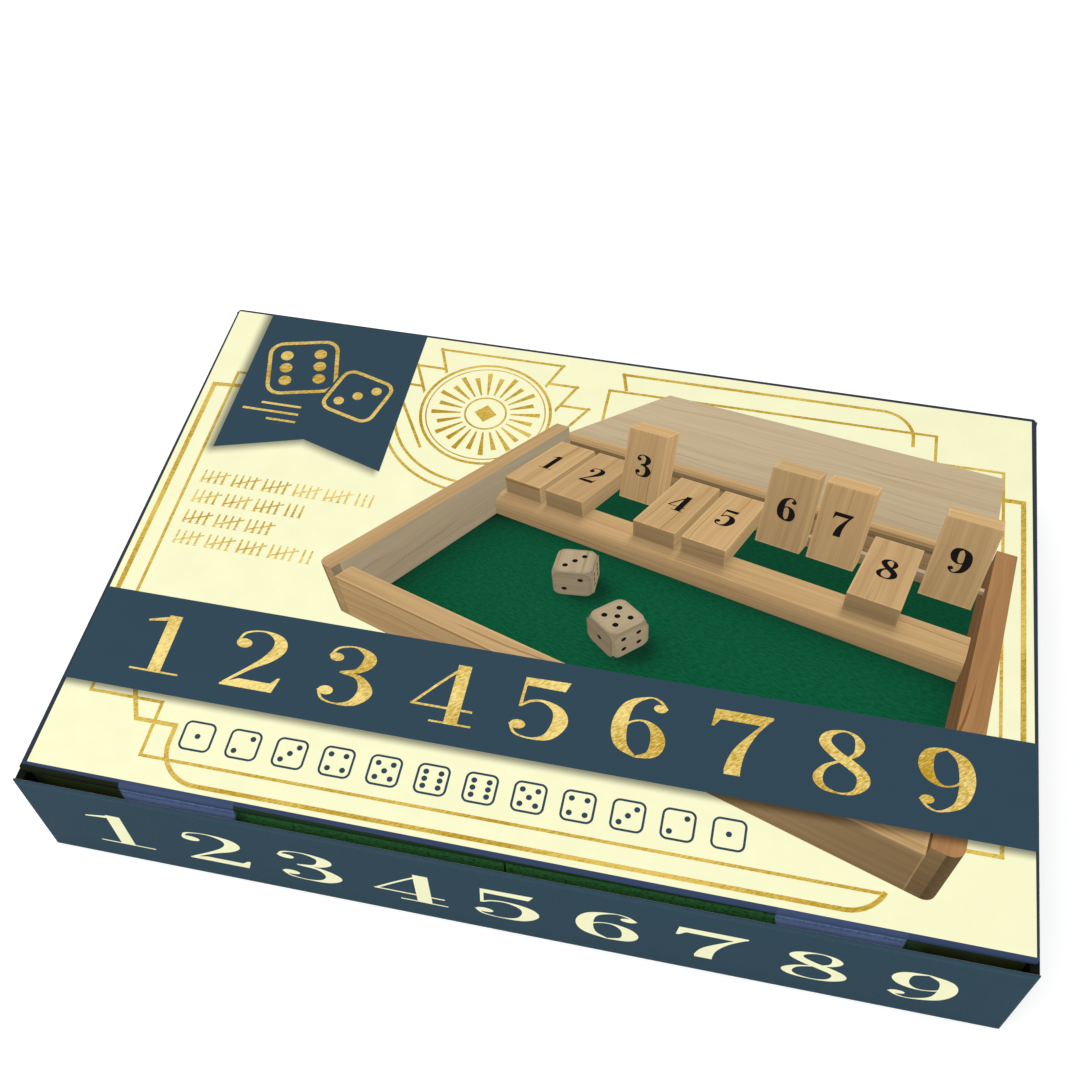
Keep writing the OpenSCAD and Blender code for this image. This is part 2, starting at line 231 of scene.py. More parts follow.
# Ink on smooth paper: a flat colour with a faint cloud and tooth
def printedPaper(name, colour, light=False, rough=0.55):
    def build(tree):
        place = placeInMm(tree)
        cloud, tooth = useGroup(tree, paperTooth, {"Place": place})
        tone = span(tree, cloud, 0.2, 0.8, 0.975, 1.01, "LINEAR")
        if light:
            tone = calc(tree, "MULTIPLY", tone, useGroup(tree, printShadow, {"Place": place})[0])
        base = mixed(tree, 1.0, colour, put(tree, "CombineColor", {0: tone, 1: tone, 2: tone}).outputs[0], "MULTIPLY")
        return {"Base Color": base, "Roughness": span(tree, tooth, 0.3, 0.7, rough - 0.05, rough + 0.06), "Height": tooth, "Depth": 0.00002, "Bump": 0.35}
    return finishMaterial(name, build, Specular_IOR_Level=0.04)


# Gold printed to look like crumpled leaf
def goldPrint(name, deep, pale, shaded=False):
    def build(tree):
        place = placeInMm(tree)
        slant = put(tree, "Mapping", {"Vector": place, "Rotation": (0, 0, 0.9)}).outputs[0]
        broad = noise(tree, place, 0.035, 2.0, 0.5, (1.0, 1.7, 1.0))
        crease = noise(tree, slant, 1.0, 4.0, 0.72, (1.9, 0.5, 1.0))
        leaf = calc(tree, "MULTIPLY_ADD", crease, 0.75, calc(tree, "MULTIPLY", broad, 0.45))
        tone = span(tree, leaf, 0.44, 0.74)
        colour = mixed(tree, tone, deep, pale)
        if shaded:
            light = useGroup(tree, printShadow, {"Place": place})[0]
            colour = mixed(tree, 1.0, colour, put(tree, "CombineColor", {0: light, 1: light, 2: light}).outputs[0], "MULTIPLY")
        return {"Base Color": colour, "Roughness": span(tree, crease, 0.3, 0.7, 0.30, 0.46), "Height": crease, "Depth": 0.00004, "Bump": 0.5}
    return finishMaterial(name, build, Specular_IOR_Level=0.05)


# Printed picture of wood: the grain follows the drawn face's own map, and tone is the drawn light
def pictureWood(name, pale, dark, wave=6.0, bands=0.30):
    def build(tree):
        flat = put(tree, "UVMap", uv_map="grain").outputs[0]
        tone = put(tree, "Attribute", attribute_name="tone").outputs["Fac"]
        light = useGroup(tree, printShadow, {"Place": placeInMm(tree)})[0]
        x, y, z = split(tree, flat)
        drift = noise(tree, flat, 1.0, 2.0, 0.5, (0.009, 0.018, 1.0))
        bent = put(tree, "CombineXYZ", {0: x, 1: calc(tree, "MULTIPLY_ADD", drift, wave * 10, y), 2: 0.0}).outputs[0]
        broad = noise(tree, bent, 1.0, 2.0, 0.5, (0.004, bands, 1.0))
        fine = noise(tree, bent, 1.0, 3.0, 0.6, (0.014, bands * 5, 1.0))
        line = span(tree, noise(tree, bent, 1.0, 1.0, 0.5, (0.006, bands * 2.2, 1.0)), 0.66, 0.74, 0.0, 0.35)
        mark = calc(tree, "ADD", calc(tree, "MULTIPLY_ADD", broad, 0.6, calc(tree, "MULTIPLY", fine, 0.4)), line)
        base = mixed(tree, span(tree, mark, 0.20, 1.0), pale, dark)
        value = calc(tree, "MULTIPLY", tone, light)
        base = mixed(tree, 1.0, base, put(tree, "CombineColor", {0: value, 1: value, 2: value}).outputs[0], "MULTIPLY")
        return {"Base Color": base, "Roughness": 0.55}
    return finishMaterial(name, build, Specular_IOR_Level=0.04)


def pictureFelt():
    def build(tree):
        flat = put(tree, "UVMap", uv_map="grain").outputs[0]
        tone = put(tree, "Attribute", attribute_name="tone").outputs["Fac"]
        weave = noise(tree, flat, 1.0, 3.0, 0.7, (0.3, 0.9, 1.0))
        value = calc(tree, "MULTIPLY", tone, span(tree, weave, 0.3, 0.7, 0.72, 1.22))
        base = mixed(tree, 1.0, paint(6, 86, 54), put(tree, "CombineColor", {0: value, 1: value, 2: value}).outputs[0], "MULTIPLY")
        return {"Base Color": base, "Roughness": 0.5}
    return finishMaterial("pictureFelt", build, Specular_IOR_Level=0.04)


finishes = {
    "slatePrint": printedPaper("slatePrint", inks["slate"]),
    "creamPrint": printedPaper("creamPrint", inks["cream"]),
    "inkPrint": printedPaper("inkPrint", inks["black"]),
    "goldLeaf": goldPrint("goldLeaf", paint(184, 142, 8), paint(254, 230, 146)),
    "goldFlag": goldPrint("goldFlag", paint(168, 130, 10), paint(238, 208, 122)),
    "goldLine": goldPrint("goldLine", paint(178, 140, 22), paint(232, 200, 100), True),
    "palePicture": pictureWood("palePicture", paint(214, 195, 160), paint(180, 155, 119), 3.0, 0.13),
    "warmPicture": pictureWood("warmPicture", paint(212, 178, 128), paint(166, 124, 76), 1.2, 0.22),
    "redPicture": pictureWood("redPicture", paint(186, 140, 92), paint(128, 84, 46), 2.5, 0.16),
    "feltPicture": pictureFelt(),
}
print("inks and papers mixed:", len(finishes))


# ---- camera, light and floor ----

camera = {"place": (0.04987, -0.250217, 0.414482), "look": (-0.13665, 0.57953, -0.80341), "up": (-0.15441, 0.78865, 0.59514), "lens": 45.657}
eye = bpy.data.objects.new("camera", bpy.data.cameras.new("camera"))
look = Vector(camera["look"]).normalized()
right = look.cross(Vector(camera["up"])).normalized()
above = right.cross(look)
eye.matrix_world = Matrix.Translation(camera["place"]) @ Matrix((right, above, -look)).transposed().to_4x4()
eye.data.lens, eye.data.sensor_width = camera["lens"], 36
eye.data.clip_start, eye.data.clip_end = 0.01, 50
scene = bpy.context.scene
scene.collection.objects.link(eye)
scene.camera = eye
scene.view_settings.view_transform = "Standard"

studio = {"worldLevel": 0.66, "keyWatts": 9.0, "keySize": 1.3, "keyPlace": (-0.7, -0.5, 1.3), "fillWatts": 5.0, "fillPlace": (0.9, -1.1, 0.7), "floorGlow": 0.42}


def areaLight(name, place, watts, size):
    lamp = bpy.data.lights.new(name, "AREA")
    lamp.energy, lamp.size = watts, size
    holder = bpy.data.objects.new(name, lamp)
    holder.matrix_world = Matrix.Translation(place) @ (-Vector(place)).to_track_quat("-Z", "Y").to_matrix().to_4x4()
    scene.collection.objects.link(holder)


areaLight("keyLight", studio["keyPlace"], studio["keyWatts"], studio["keySize"])
areaLight("fillLight", studio["fillPlace"], studio["fillWatts"], studio["keySize"])
world = bpy.data.worlds.new("studio")
scene.world = world
world.use_nodes = True
worldTree = world.node_tree
worldTree.nodes.clear()


# 1 for the rays that see the backdrop itself, and 0 for those that only carry its light
def seenRay(tree):
    ray = put(tree, "LightPath").outputs
    return calc(tree, "MAXIMUM", ray["Is Camera Ray"], calc(tree, "MAXIMUM", ray["Is Glossy Ray"], ray["Is Transmission Ray"]))


level = span(worldTree, seenRay(worldTree), 0.0, 1.0, studio["worldLevel"], 1.0, "LINEAR")
glow = put(worldTree, "Background", {"Color": (1, 1, 1, 1), "Strength": level})
worldTree.links.new(glow.outputs[0], put(worldTree, "OutputWorld").inputs[0])

floorMesh = bpy.data.meshes.new("floor")
reach, drop, inset = 6.0, -0.00005, 0.003        # the floor is left open under the carton, whose underside then shows from below
outer = [(x * reach, y * reach, drop) for x, y in ((-1, -1), (1, -1), (1, 1), (-1, 1))]
inner = [(x * (0.15 - inset), y * (backY * mm - inset), drop) for x, y in ((-1, -1), (1, -1), (1, 1), (-1, 1))]
floorMesh.from_pydata(outer + inner, [], [(k, (k + 1) % 4, (k + 1) % 4 + 4, k + 4) for k in range(4)])
floor = bpy.data.objects.new("floor", floorMesh)
scene.collection.objects.link(floor)
floorMaterial = bpy.data.materials.new("paleFloor")
floorMaterial.use_nodes = True
floorTree = floorMaterial.node_tree
floorTree.nodes.clear()
pale = put(floorTree, "BsdfDiffuse", {"Color": (0.86, 0.86, 0.86, 1)})
shine = put(floorTree, "Emission", {"Color": (1, 1, 1, 1), "Strength": calc(floorTree, "MULTIPLY", seenRay(floorTree), studio["floorGlow"])})
both = put(floorTree, "AddShader", {0: pale.outputs[0], 1: shine.outputs[0]})
floorTree.links.new(both.outputs[0], put(floorTree, "OutputMaterial").inputs[0])
floorMesh.materials.append(floorMaterial)
print("camera, lamps and floor set")


# ---- drawing tools: every drawn shape is a list of flat outlines, in mm ----

# Smooth curve through the points (Catmull-Rom), steps points to each span
def smooth(points, steps=8, closed=False):
    p = np.array(points, float)
    p = np.vstack([p[-1:], p, p[:2]]) if closed else np.vstack([2 * p[0] - p[1], p, 2 * p[-1] - p[-2]])
    a, b, c, d = p[:-3, None], p[1:-2, None], p[2:-1, None], p[3:, None]
    t = np.linspace(0, 1, steps, endpoint=False)[None, :, None]
    q = 0.5 * (2 * b + (c - a) * t + (2 * a - 5 * b + 4 * c - d) * t ** 2 + (3 * b - a - 3 * c + d) * t ** 3)
    q = q.reshape(-1, p.shape[1])
    return np.vstack([q, q[:1] if closed else p[-2][None]])


# Pen stroke: quads between cross lines square to a curve through (x, y, width)
def stroke(points, closed=False, steps=7):
    path = smooth(points, steps, closed)
    at, wide = path[:, :2], np.maximum(path[:, 2:3], 0.02)
    run = np.gradient(at, axis=0)
    if closed:
        run[0] = run[-1] = at[1] - at[-2]
    run /= np.linalg.norm(run, axis=1, keepdims=True)
    side = np.stack([-run[:, 1], run[:, 0]], 1) * wide / 2
    return list(np.stack([(at - side)[:-1], (at - side)[1:], (at + side)[1:], (at + side)[:-1]], 1))


# Ruled line of even width with mitred corners: each span grows by half the width times the tangent of half the turn
def ruled(points, width, closed=False):
    p = np.array(points, float)
    if closed:
        p = np.vstack([p, p[:1]])
    run = np.diff(p, axis=0)
    length = np.linalg.norm(run, axis=1, keepdims=True)
    run /= length
    heading = np.arctan2(run[:, 1], run[:, 0])
    turn = np.abs((np.diff(heading) + math.pi) % (2 * math.pi) - math.pi)
    grow = np.minimum(np.tan(turn / 2), 1.5) * width / 2
    last = (heading[0] - heading[-1] + math.pi) % (2 * math.pi) - math.pi
    end = [min(math.tan(abs(last) / 2), 1.5) * width / 2] if closed else [0.0]
    before, after = np.concatenate([end, grow])[:, None], np.concatenate([grow, end])[:, None]
    side = np.stack([-run[:, 1], run[:, 0]], 1) * width / 2
    a, b = p[:-1] - run * before, p[1:] + run * after
    return list(np.stack([a - side, b - side, b + side, a + side], 1))


def arc(x, y, radius, start, stop, count=24):
    turn = np.radians(np.linspace(start, stop, count))
    return np.stack([x + radius * np.cos(turn), y + radius * np.sin(turn)], 1)


def disc(x, y, radius, count=22):
    return [arc(x, y, radius, 0, 360 * (1 - 1 / count), count)]


def rect(x0, y0, x1, y1):
    return [np.array([(x0, y0), (x1, y0), (x1, y1), (x0, y1)], float)]


def roundRect(x0, y0, x1, y1, r, count=7):
    return np.vstack([arc(x1 - r, y0 + r, r, -90, 0, count), arc(x1 - r, y1 - r, r, 0, 90, count),
                      arc(x0 + r, y1 - r, r, 90, 180, count), arc(x0 + r, y0 + r, r, 180, 270, count)])


def moved(outlines, by=(0, 0), turn=0.0, scale=(1, 1)):
    c, s = math.cos(math.radians(turn)), math.sin(math.radians(turn))
    spin = np.array([[c, s], [-s, c]])
    return [(np.asarray(o, float) * scale) @ spin + by for o in outlines]


# Numerals in upright-stress style on a height of 1: blocks are outlines, strokes are (closed, [(x, y, width)]), balls are (x, y, radius)
digits = {
    "1": {"blocks": [[(0.05, 0), (0.55, 0), (0.55, 0.03), (0.05, 0.03)], [(0.28, 0.98), (0.04, 0.87), (0.04, 0.84), (0.28, 0.90)]],
          "strokes": [(False, [(0.30, 0.0, 0.16), (0.30, 0.5, 0.16), (0.30, 0.99, 0.16)])], "balls": []},
    "2": {"blocks": [[(0.03, 0), (0.56, 0), (0.60, 0.25), (0.575, 0.25), (0.52, 0.145), (0.20, 0.145), (0.03, 0.03)]],
          "strokes": [(False, [(0.055, 0.75, 0.03), (0.11, 0.92, 0.035), (0.29, 0.985, 0.03), (0.45, 0.90, 0.13), (0.49, 0.74, 0.17), (0.42, 0.55, 0.14), (0.26, 0.33, 0.06), (0.06, 0.045, 0.035)])],
          "balls": [(0.125, 0.74, 0.085)]},
    "3": {"blocks": [], "strokes": [
        (False, [(0.055, 0.78, 0.03), (0.12, 0.93, 0.035), (0.28, 0.985, 0.03), (0.43, 0.89, 0.13), (0.45, 0.75, 0.16), (0.37, 0.60, 0.09), (0.20, 0.535, 0.03)]),
        (False, [(0.20, 0.535, 0.03), (0.40, 0.49, 0.09), (0.50, 0.28, 0.18), (0.42, 0.08, 0.12), (0.26, 0.015, 0.03), (0.11, 0.06, 0.035), (0.045, 0.21, 0.03)])],
        "balls": [(0.125, 0.775, 0.075), (0.12, 0.205, 0.08)]},
    "4": {"blocks": [[(0.01, 0.235), (0.62, 0.235), (0.62, 0.27), (0.01, 0.27)], [(0.23, 0), (0.64, 0), (0.64, 0.03), (0.23, 0.03)]],
          "strokes": [(False, [(0.44, 0.98, 0.035), (0.24, 0.64, 0.035), (0.03, 0.255, 0.035)]),
                      (False, [(0.44, 0.0, 0.16), (0.44, 0.5, 0.16), (0.44, 0.99, 0.16)])], "balls": []},
    "5": {"blocks": [[(0.10, 0.85), (0.50, 0.84), (0.54, 1.0), (0.10, 0.98)], [(0.09, 0.49), (0.12, 0.50), (0.13, 0.98), (0.10, 0.98)]],
          "strokes": [(False, [(0.105, 0.50, 0.03), (0.19, 0.60, 0.04), (0.32, 0.63, 0.05), (0.47, 0.52, 0.14), (0.51, 0.32, 0.18), (0.43, 0.09, 0.12), (0.27, 0.015, 0.03), (0.11, 0.06, 0.035), (0.045, 0.21, 0.03)])],
          "balls": [(0.12, 0.205, 0.08)]},
    "6": {"blocks": [], "strokes": [
        (False, [(0.54, 0.83, 0.03), (0.46, 0.955, 0.035), (0.35, 0.985, 0.03), (0.18, 0.83, 0.12), (0.12, 0.50, 0.18), (0.16, 0.18, 0.15), (0.31, 0.015, 0.03)]),
        (False, [(0.31, 0.015, 0.03), (0.46, 0.10, 0.13), (0.50, 0.30, 0.17), (0.45, 0.50, 0.12), (0.33, 0.60, 0.035), (0.20, 0.53, 0.03), (0.15, 0.36, 0.03)])],
        "balls": [(0.475, 0.835, 0.07)]},
    "7": {"blocks": [[(0.02, 0.72), (0.045, 0.72), (0.10, 0.84), (0.50, 0.84), (0.59, 0.96), (0.59, 1), (0.04, 1)]],
          "strokes": [(False, [(0.575, 0.975, 0.03), (0.43, 0.70, 0.06), (0.31, 0.38, 0.14), (0.27, 0.12, 0.18), (0.27, 0.0, 0.18)])], "balls": []},
    "8": {"blocks": [], "strokes": [
        (True, [(0.30, 0.985, 0.03), (0.17, 0.91, 0.10), (0.135, 0.77, 0.14), (0.23, 0.62, 0.15), (0.37, 0.49, 0.16), (0.49, 0.35, 0.15), (0.505, 0.20, 0.14), (0.43, 0.06, 0.07),
                (0.30, 0.015, 0.03), (0.15, 0.07, 0.08), (0.095, 0.22, 0.11), (0.16, 0.40, 0.06), (0.30, 0.52, 0.035), (0.42, 0.64, 0.07), (0.455, 0.79, 0.11), (0.41, 0.93, 0.06)])],
        "balls": []},
}
digits["9"] = {"blocks": [], "balls": [(0.61 - x, 1 - y, r) for x, y, r in digits["6"]["balls"]],
               "strokes": [(shut, [(0.61 - x, 1 - y, w) for x, y, w in pen]) for shut, pen in digits["6"]["strokes"]]}


# One numeral with its lower left corner at (x, y); heavy thickens the stems and hair is the least line, both on a height of 1
def numeral(name, x, y, high, wide=1.0, heavy=1.0, hair=0.03, steps=7):
    shape = digits[name]
    drawn = [np.array(b, float) for b in shape["blocks"]]
    for shut, pen in shape["strokes"]:
        pen = np.array(pen)
        pen[:, 2] = hair + np.maximum(pen[:, 2] - 0.03, 0) * heavy
        drawn += stroke(pen, shut, steps)
    for ball in shape["balls"]:
        drawn += disc(ball[0], ball[1], ball[2] * (0.6 + 0.4 * heavy), 18)
    return moved(drawn, (x, y), 0, (high * wide, high))


# The net of all outlines, and the topmost one on each triangle: later layers lie over earlier ones
def arrange(layers):
    outlines = []
    for outline, _, _ in layers:
        area = np.sum(outline[:, 0] * np.roll(outline[:, 1], -1) - outline[:, 1] * np.roll(outline[:, 0], -1))
        outlines.append(outline if area > 0 else outline[::-1])
    sizes = [len(o) for o in outlines]
    starts = np.cumsum([0] + sizes[:-1])
    loops = [list(range(s, s + n)) for s, n in zip(starts.tolist(), sizes)]
    net = delaunay_2d_cdt([Vector(p) for p in np.concatenate(outlines).tolist()], [], loops, 0, 1e-5)
    owner = np.array([max(o) if o else -1 for o in net[5]])
    triangles = np.array(net[2])
    return np.array([tuple(p) for p in net[0]]), triangles[owner >= 0], owner[owner >= 0]


# A thin closed plate from flat triangles: the top, the bottom turned over, and a wall along every edge that only one triangle has
def plateMesh(name, flat, triangles, low, high, seat, corners=None):
    used, index = np.unique(triangles, return_inverse=True)
    triangles = index.reshape(-1, 3)
    flat = flat[used]
    count = len(flat)
    origin, across, up = (np.array(v, float) for v in seat)
    out = np.cross(across, up)
    base = origin + flat[:, :1] * across + flat[:, 1:] * up
    points = np.vstack([base + out * high, base + out * low]) * mm
    edges = np.vstack([triangles[:, [0, 1]], triangles[:, [1, 2]], triangles[:, [2, 0]]])
    key, back = edges[:, 0] * count + edges[:, 1], edges[:, 1] * count + edges[:, 0]
    rim = edges[~np.isin(key, back)]
    walls = np.stack([rim[:, 0], rim[:, 0] + count, rim[:, 1] + count, rim[:, 1]], 1)
    faces = triangles.tolist() + (triangles[:, ::-1] + count).tolist() + walls.tolist()
    mesh = bpy.data.meshes.new(name)
    mesh.from_pydata(points.tolist(), [], faces)
    if corners is not None:
        values = np.vstack([corners.reshape(-1, 3), corners[:, ::-1].reshape(-1, 3), np.tile(corners[:1, 0], (len(walls) * 4, 1))])
        mesh.uv_layers.new(name="grain").data.foreach_set("uv", values[:, :2].astype(np.float32).ravel())
        mesh.attributes.new("tone", "FLOAT", "CORNER").data.foreach_set("value", values[:, 2].astype(np.float32))
    return mesh


def addPiece(name, mesh, finish, body):
    piece = bpy.data.objects.new(name, mesh)
    scene.collection.objects.link(piece)
    mesh.materials.append(finishes[finish] if isinstance(finish, str) else finish)
    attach(piece, body)
    return piece


# Prints layers of (outline, finish, mapping) on a seat of (origin, across, up): one plate for each finish, none over another.
# A mapping gives each place its grain place and its drawn light
def printPlates(name, layers, seat, body, high=0.03):
    flat, triangles, owner = arrange([(np.asarray(o, float), f, m) for o, f, m in layers])
    for finish in dict.fromkeys(f for _, f, _ in layers):
        mine = np.flatnonzero(np.isin(owner, [k for k, l in enumerate(layers) if l[1] == finish]))
        if not len(mine):
            continue
        corners = np.tile([0.0, 0.0, 1.0], (len(mine), 3, 1))
        for mapping in dict.fromkeys(layers[k][2] for k in np.unique(owner[mine]) if layers[k][2]):
            rows = np.isin(owner[mine], [k for k, l in enumerate(layers) if l[2] is mapping])
            corners[rows] = mapping(flat[triangles[mine[rows]]].reshape(-1, 2)).reshape(-1, 3, 3)
        mesh = plateMesh(f"{name}_{finish}", flat, triangles[mine], 0.004, high, seat, corners)
        addPiece(f"{name}_{finish}", mesh, finish, body)


def inked(outlines, finish):
    return [(o, finish, None) for o in outlines]


# A die's face as a rounded outline with its pips
pipPlaces = {1: [(0, 0)], 2: [(-1, -1), (1, 1)], 3: [(-1, -1), (0, 0), (1, 1)], 4: [(-1, -1), (1, 1), (-1, 1), (1, -1)],
             5: [(-1, -1), (1, 1), (-1, 1), (1, -1), (0, 0)], 6: [(-1, -1), (1, 1), (-1, 1), (1, -1), (-1, 0), (1, 0)]}


def dieFace(value, x, y, size, line, turn=0.0):
    drawn = ruled(roundRect(-size / 2, -size / 2, size / 2, size / 2, size * 0.2), line, True)
    for px, py in pipPlaces[value]:
        drawn += disc(px * size * 0.25, py * size * 0.25, size * 0.095, 16)
    return moved(drawn, (x, y), turn)


# ---- lid print ----

lidSeat = ((-150, frontY, lidTop), (1, 0, 0), (0, 1, 0))
frontSeat = ((-150, frontY, 0), (1, 0, 0), (0, 0, 1))

frameLines = {"thick": 1.7, "thin": 1.05}
thick, thin = frameLines["thick"], frameLines["thin"]
lidLayers = []
gold = []
# left side, stepped at the top
gold += ruled([(5.0, 71), (5.0, 164.4), (15, 165.2)], thick)
gold += ruled([(11.7, 71), (11.7, 171.6), (15, 171.6)], thin)
# right side, top and the stepped corner
gold += ruled([(294.9, 71), (294.9, 164), (284, 164)], thick)
gold += ruled([(288.2, 71), (288.2, 176), (265, 176)], thin)
gold += ruled(np.vstack([[(154.2, 189.3), (152.1, 197.1)], arc(245.8, 185.8, 11.3, 90, 0, 14), [(257.1, 182)]]), 1.2)
gold += ruled([(148.2, 170), (148.2, 188.5), (265, 188.5), (265, 176)], thin)
# foot of the frame
gold += ruled([(11.6, 37), (11.6, 33.7), (35.3, 33.7), (35.3, 15.2), (257, 15.2)], thin)
gold += ruled(np.vstack([[(25, 37), (29.4, 26.8), (42.3, 26.8)], arc(54.9, 21.1, 12.6, 180, 270, 14), arc(246, 21.1, 12.6, 270, 335, 12)]), 1.45)
gold += ruled([(271, 25), (274.4, 32.8), (289, 32.8), (289, 37)], 1.3)
lidLayers += inked(gold, "goldLine")

# Roundel with a fan of rays over stepped wings
roundel = {"x": 106.3, "y": 169.0, "radius": 23.4}
rx, ry, rr = roundel["x"], roundel["y"], roundel["radius"]
deco = []
for side in (-1, 1):
    deco += ruled([(rx, ry + 28.1), (rx + side * 23.0, ry + 28.1), (rx + side * 12, ry)], thin)
    deco += ruled([(rx + side * 19.5, ry + 18.6), (rx + side * 30.0, ry + 18.6), (rx + side * 16, ry - 12)], thin)
    deco += ruled([(rx + side * 25.6, ry + 8.8), (rx + side * 36, ry + 8.8), (rx + side * 19, ry - 20)], thin)
for radius in (32.6, 36.6):
    deco += ruled(arc(rx, ry, radius, 192, 292, 30), thin)
lidLayers += inked(deco, "goldLine")
lidLayers += inked([arc(rx, ry, rr + 1.6, 0, 354, 60)], "creamPrint")
badge = ruled(arc(rx, ry, rr, 0, 354, 60), 1.1, True) + ruled(arc(rx, ry, rr - 1.9, 0, 354, 60), 0.5, True)
for k in range(24):
    reach = 17.6 if k % 2 else 19.6
    badge += moved([np.array([(9.0, -0.28), (reach, -0.95), (reach, 0.95), (9.0, 0.28)])], (rx, ry), k * 15 + 7.5)
badge += ruled(arc(rx, ry, 7.4, 0, 351, 40), 0.7, True) + moved(rect(-2.9, -2.9, 2.9, 2.9), (rx, ry), 45)
lidLayers += inked(badge, "goldLine")

# Tally marks in place of the small text
tally = {"rows": [(122.2, 28), (113.3, 18), (104.3, 15), (95.5, 22)], "left": 16.4, "step": 2.45, "high": 5.6}
marks = []
for level, count in tally["rows"]:
    x = tally["left"]
    for k in range(count):
        if k % 5 == 4:
            marks += ruled([(x - 4 * tally["step"] - 0.6, level - 1.9), (x - 0.5, level + 1.9)], 0.55)
            x += tally["step"] * 0.55
        else:
            marks += moved([np.array([(-0.42, -0.5), (0.42, -0.5), (0.3, 0.5), (-0.3, 0.5)]) * (1, tally["high"])], (x, level), -4)
            marks += rect(x - 0.95, level - tally["high"] / 2, x + 0.55, level - tally["high"] / 2 + 0.22)
            x += tally["step"]
lidLayers += inked(marks, "goldLeaf")

# Pennant with a pair of dice
left, right, foot, notch = sheet["pennant"]
lidLayers += inked([np.array([(left, 202.7), (left, foot), ((left + right) / 2, notch), (right, foot), (right, 202.7)])], "slatePrint")
lidLayers += inked(dieFace(6, 34.5, 178.5, 25, 1.5, 14), "goldFlag")
lidLayers += inked(moved([roundRect(-11.6, -11.6, 11.6, 11.6, 3.6)], (58.6, 168.4), -16), "slatePrint")
lidLayers += inked(dieFace(3, 58.6, 168.4, 20, 1.4, -16), "goldFlag")
rules = []
for k, wide in enumerate((15, 21, 11)):
    rules += rect(40 - wide, 158.6 - 3.6 * k, 40, 159.6 - 3.6 * k)
lidLayers += inked(rules, "goldFlag")


# ---- picture on the lid: a game like the one inside, drawn through a pinhole from sizes in mm ----

view = {"turn": 25.0, "lift": 48.0, "roll": -5.5, "zoom": 236.0, "middle": (186.0, 109.0), "far": 372.0}
tray = {"wide": 292.0, "deep": 193.0, "high": 42.0, "wall": 10.0, "front": 35.0, "corner": 5.0, "floor": 3.0}
turnBy, liftBy, rollBy = (math.radians(view[key]) for key in ("turn", "lift", "roll"))
gaze = -np.array([math.sin(turnBy) * math.cos(liftBy), -math.cos(turnBy) * math.cos(liftBy), math.sin(liftBy)])
across = np.cross(gaze, (0, 0, 1)) / math.cos(liftBy)
upward = np.cross(across, gaze)
across, upward = math.cos(rollBy) * across + math.sin(rollBy) * upward, math.cos(rollBy) * upward - math.sin(rollBy) * across
pinhole = np.array([tray["wide"] / 2, tray["deep"] / 2, 20]) - gaze * view["far"]
# Rows that turn a ray from the pinhole into the sheet place times its depth, and the depth
toSheet = np.array([view["middle"][0] * gaze + view["zoom"] * across, view["middle"][1] * gaze + view["zoom"] * upward, gaze])
lamp = np.array([0.36, 0.0, 0.93])
picture = []


def onSheet(points):
    rays = (np.asarray(points, float) - pinhole) @ toSheet.T
    return rays[:, :2] / rays[:, 2:]


# Outlines on the plane of first and second, with grain along first (or second) and the drawn light as a number or a function of the place
def drawOn(start, first, second, outlines, finish, tone=1.0, along=0):
    start, first, second = (np.asarray(v, float) for v in (start, first, second))
    back = np.linalg.inv(toSheet @ np.column_stack([first, second, start - pinhole]))
    seed = np.array([start[0] * 3.1 + start[2] * 7.7, start[1] * 5.3 + start[0] * 1.7]) % 997

    def mapping(places):
        rays = np.column_stack([places, np.ones(len(places))]) @ back.T
        flat = rays[:, :2] / rays[:, 2:]
        light = tone(flat[:, 0], flat[:, 1]) if callable(tone) else np.full(len(flat), tone)
        return np.column_stack([(flat[:, ::-1] if along else flat) + seed, light])

    for outline in outlines:
        outline = np.asarray(outline, float)
        picture.append((onSheet(start + outline[:, :1] * first + outline[:, 1:] * second), finish, mapping))


def cells(wide, high, countX, countY):
    xs, ys = np.linspace(0, wide, countX + 1), np.linspace(0, high, countY + 1)
    return [r for x0, x1 in zip(xs, xs[1:]) for y0, y1 in zip(ys, ys[1:]) for r in rect(x0, y0, x1, y1)]


def lit(normal):
    return 0.50 + 0.55 * max(float(normal @ lamp), 0.0)


# The faces of a block that the pinhole sees, each with a lighter worn edge; the grain runs along one of the three sides
def drawBlock(start, sides, finish, grain=0, tint=1.0, worn=0.9, foot=0.12):
    start, sides = np.asarray(start, float), np.asarray(sides, float)
    lengths = np.linalg.norm(sides, axis=1)
    units = sides / lengths[:, None]
    for k in range(3):
        i, j = [n for n in range(3) if n != k]
        for end in (0, 1):
            corner = start + sides[k] * end
            normal = units[k] * (1 if end else -1)
            if (pinhole - corner) @ normal <= 0:
                continue
            wide, high, bright = lengths[i], lengths[j], tint * lit(normal) * (0.92 if k == grain else 1.0)

            def edge(s, t, bright=bright, upright=j == 2, high=high):
                return bright * (1.02 + 0.16 * t / high) if upright else np.full(len(s), bright * 1.12)

            def face(s, t, bright=bright, upright=j == 2, high=high):
                return bright * (1 - foot + 1.4 * foot * np.minimum(t / high, 1)) if upright else np.full(len(s), bright)

            drawOn(corner, units[i], units[j], rect(0, 0, wide, high), finish, edge, int(j == grain))
            inset = [roundRect(worn, worn, wide - worn, high - worn, min(worn, 1.2), 3)]
            drawOn(corner, units[i], units[j], inset, finish, face, int(j == grain or (k == grain and i != 0)))


wide, deep, high, wall, frontHigh = (tray[key] for key in ("wide", "deep", "high", "wall", "front"))
inBack = deep - wall
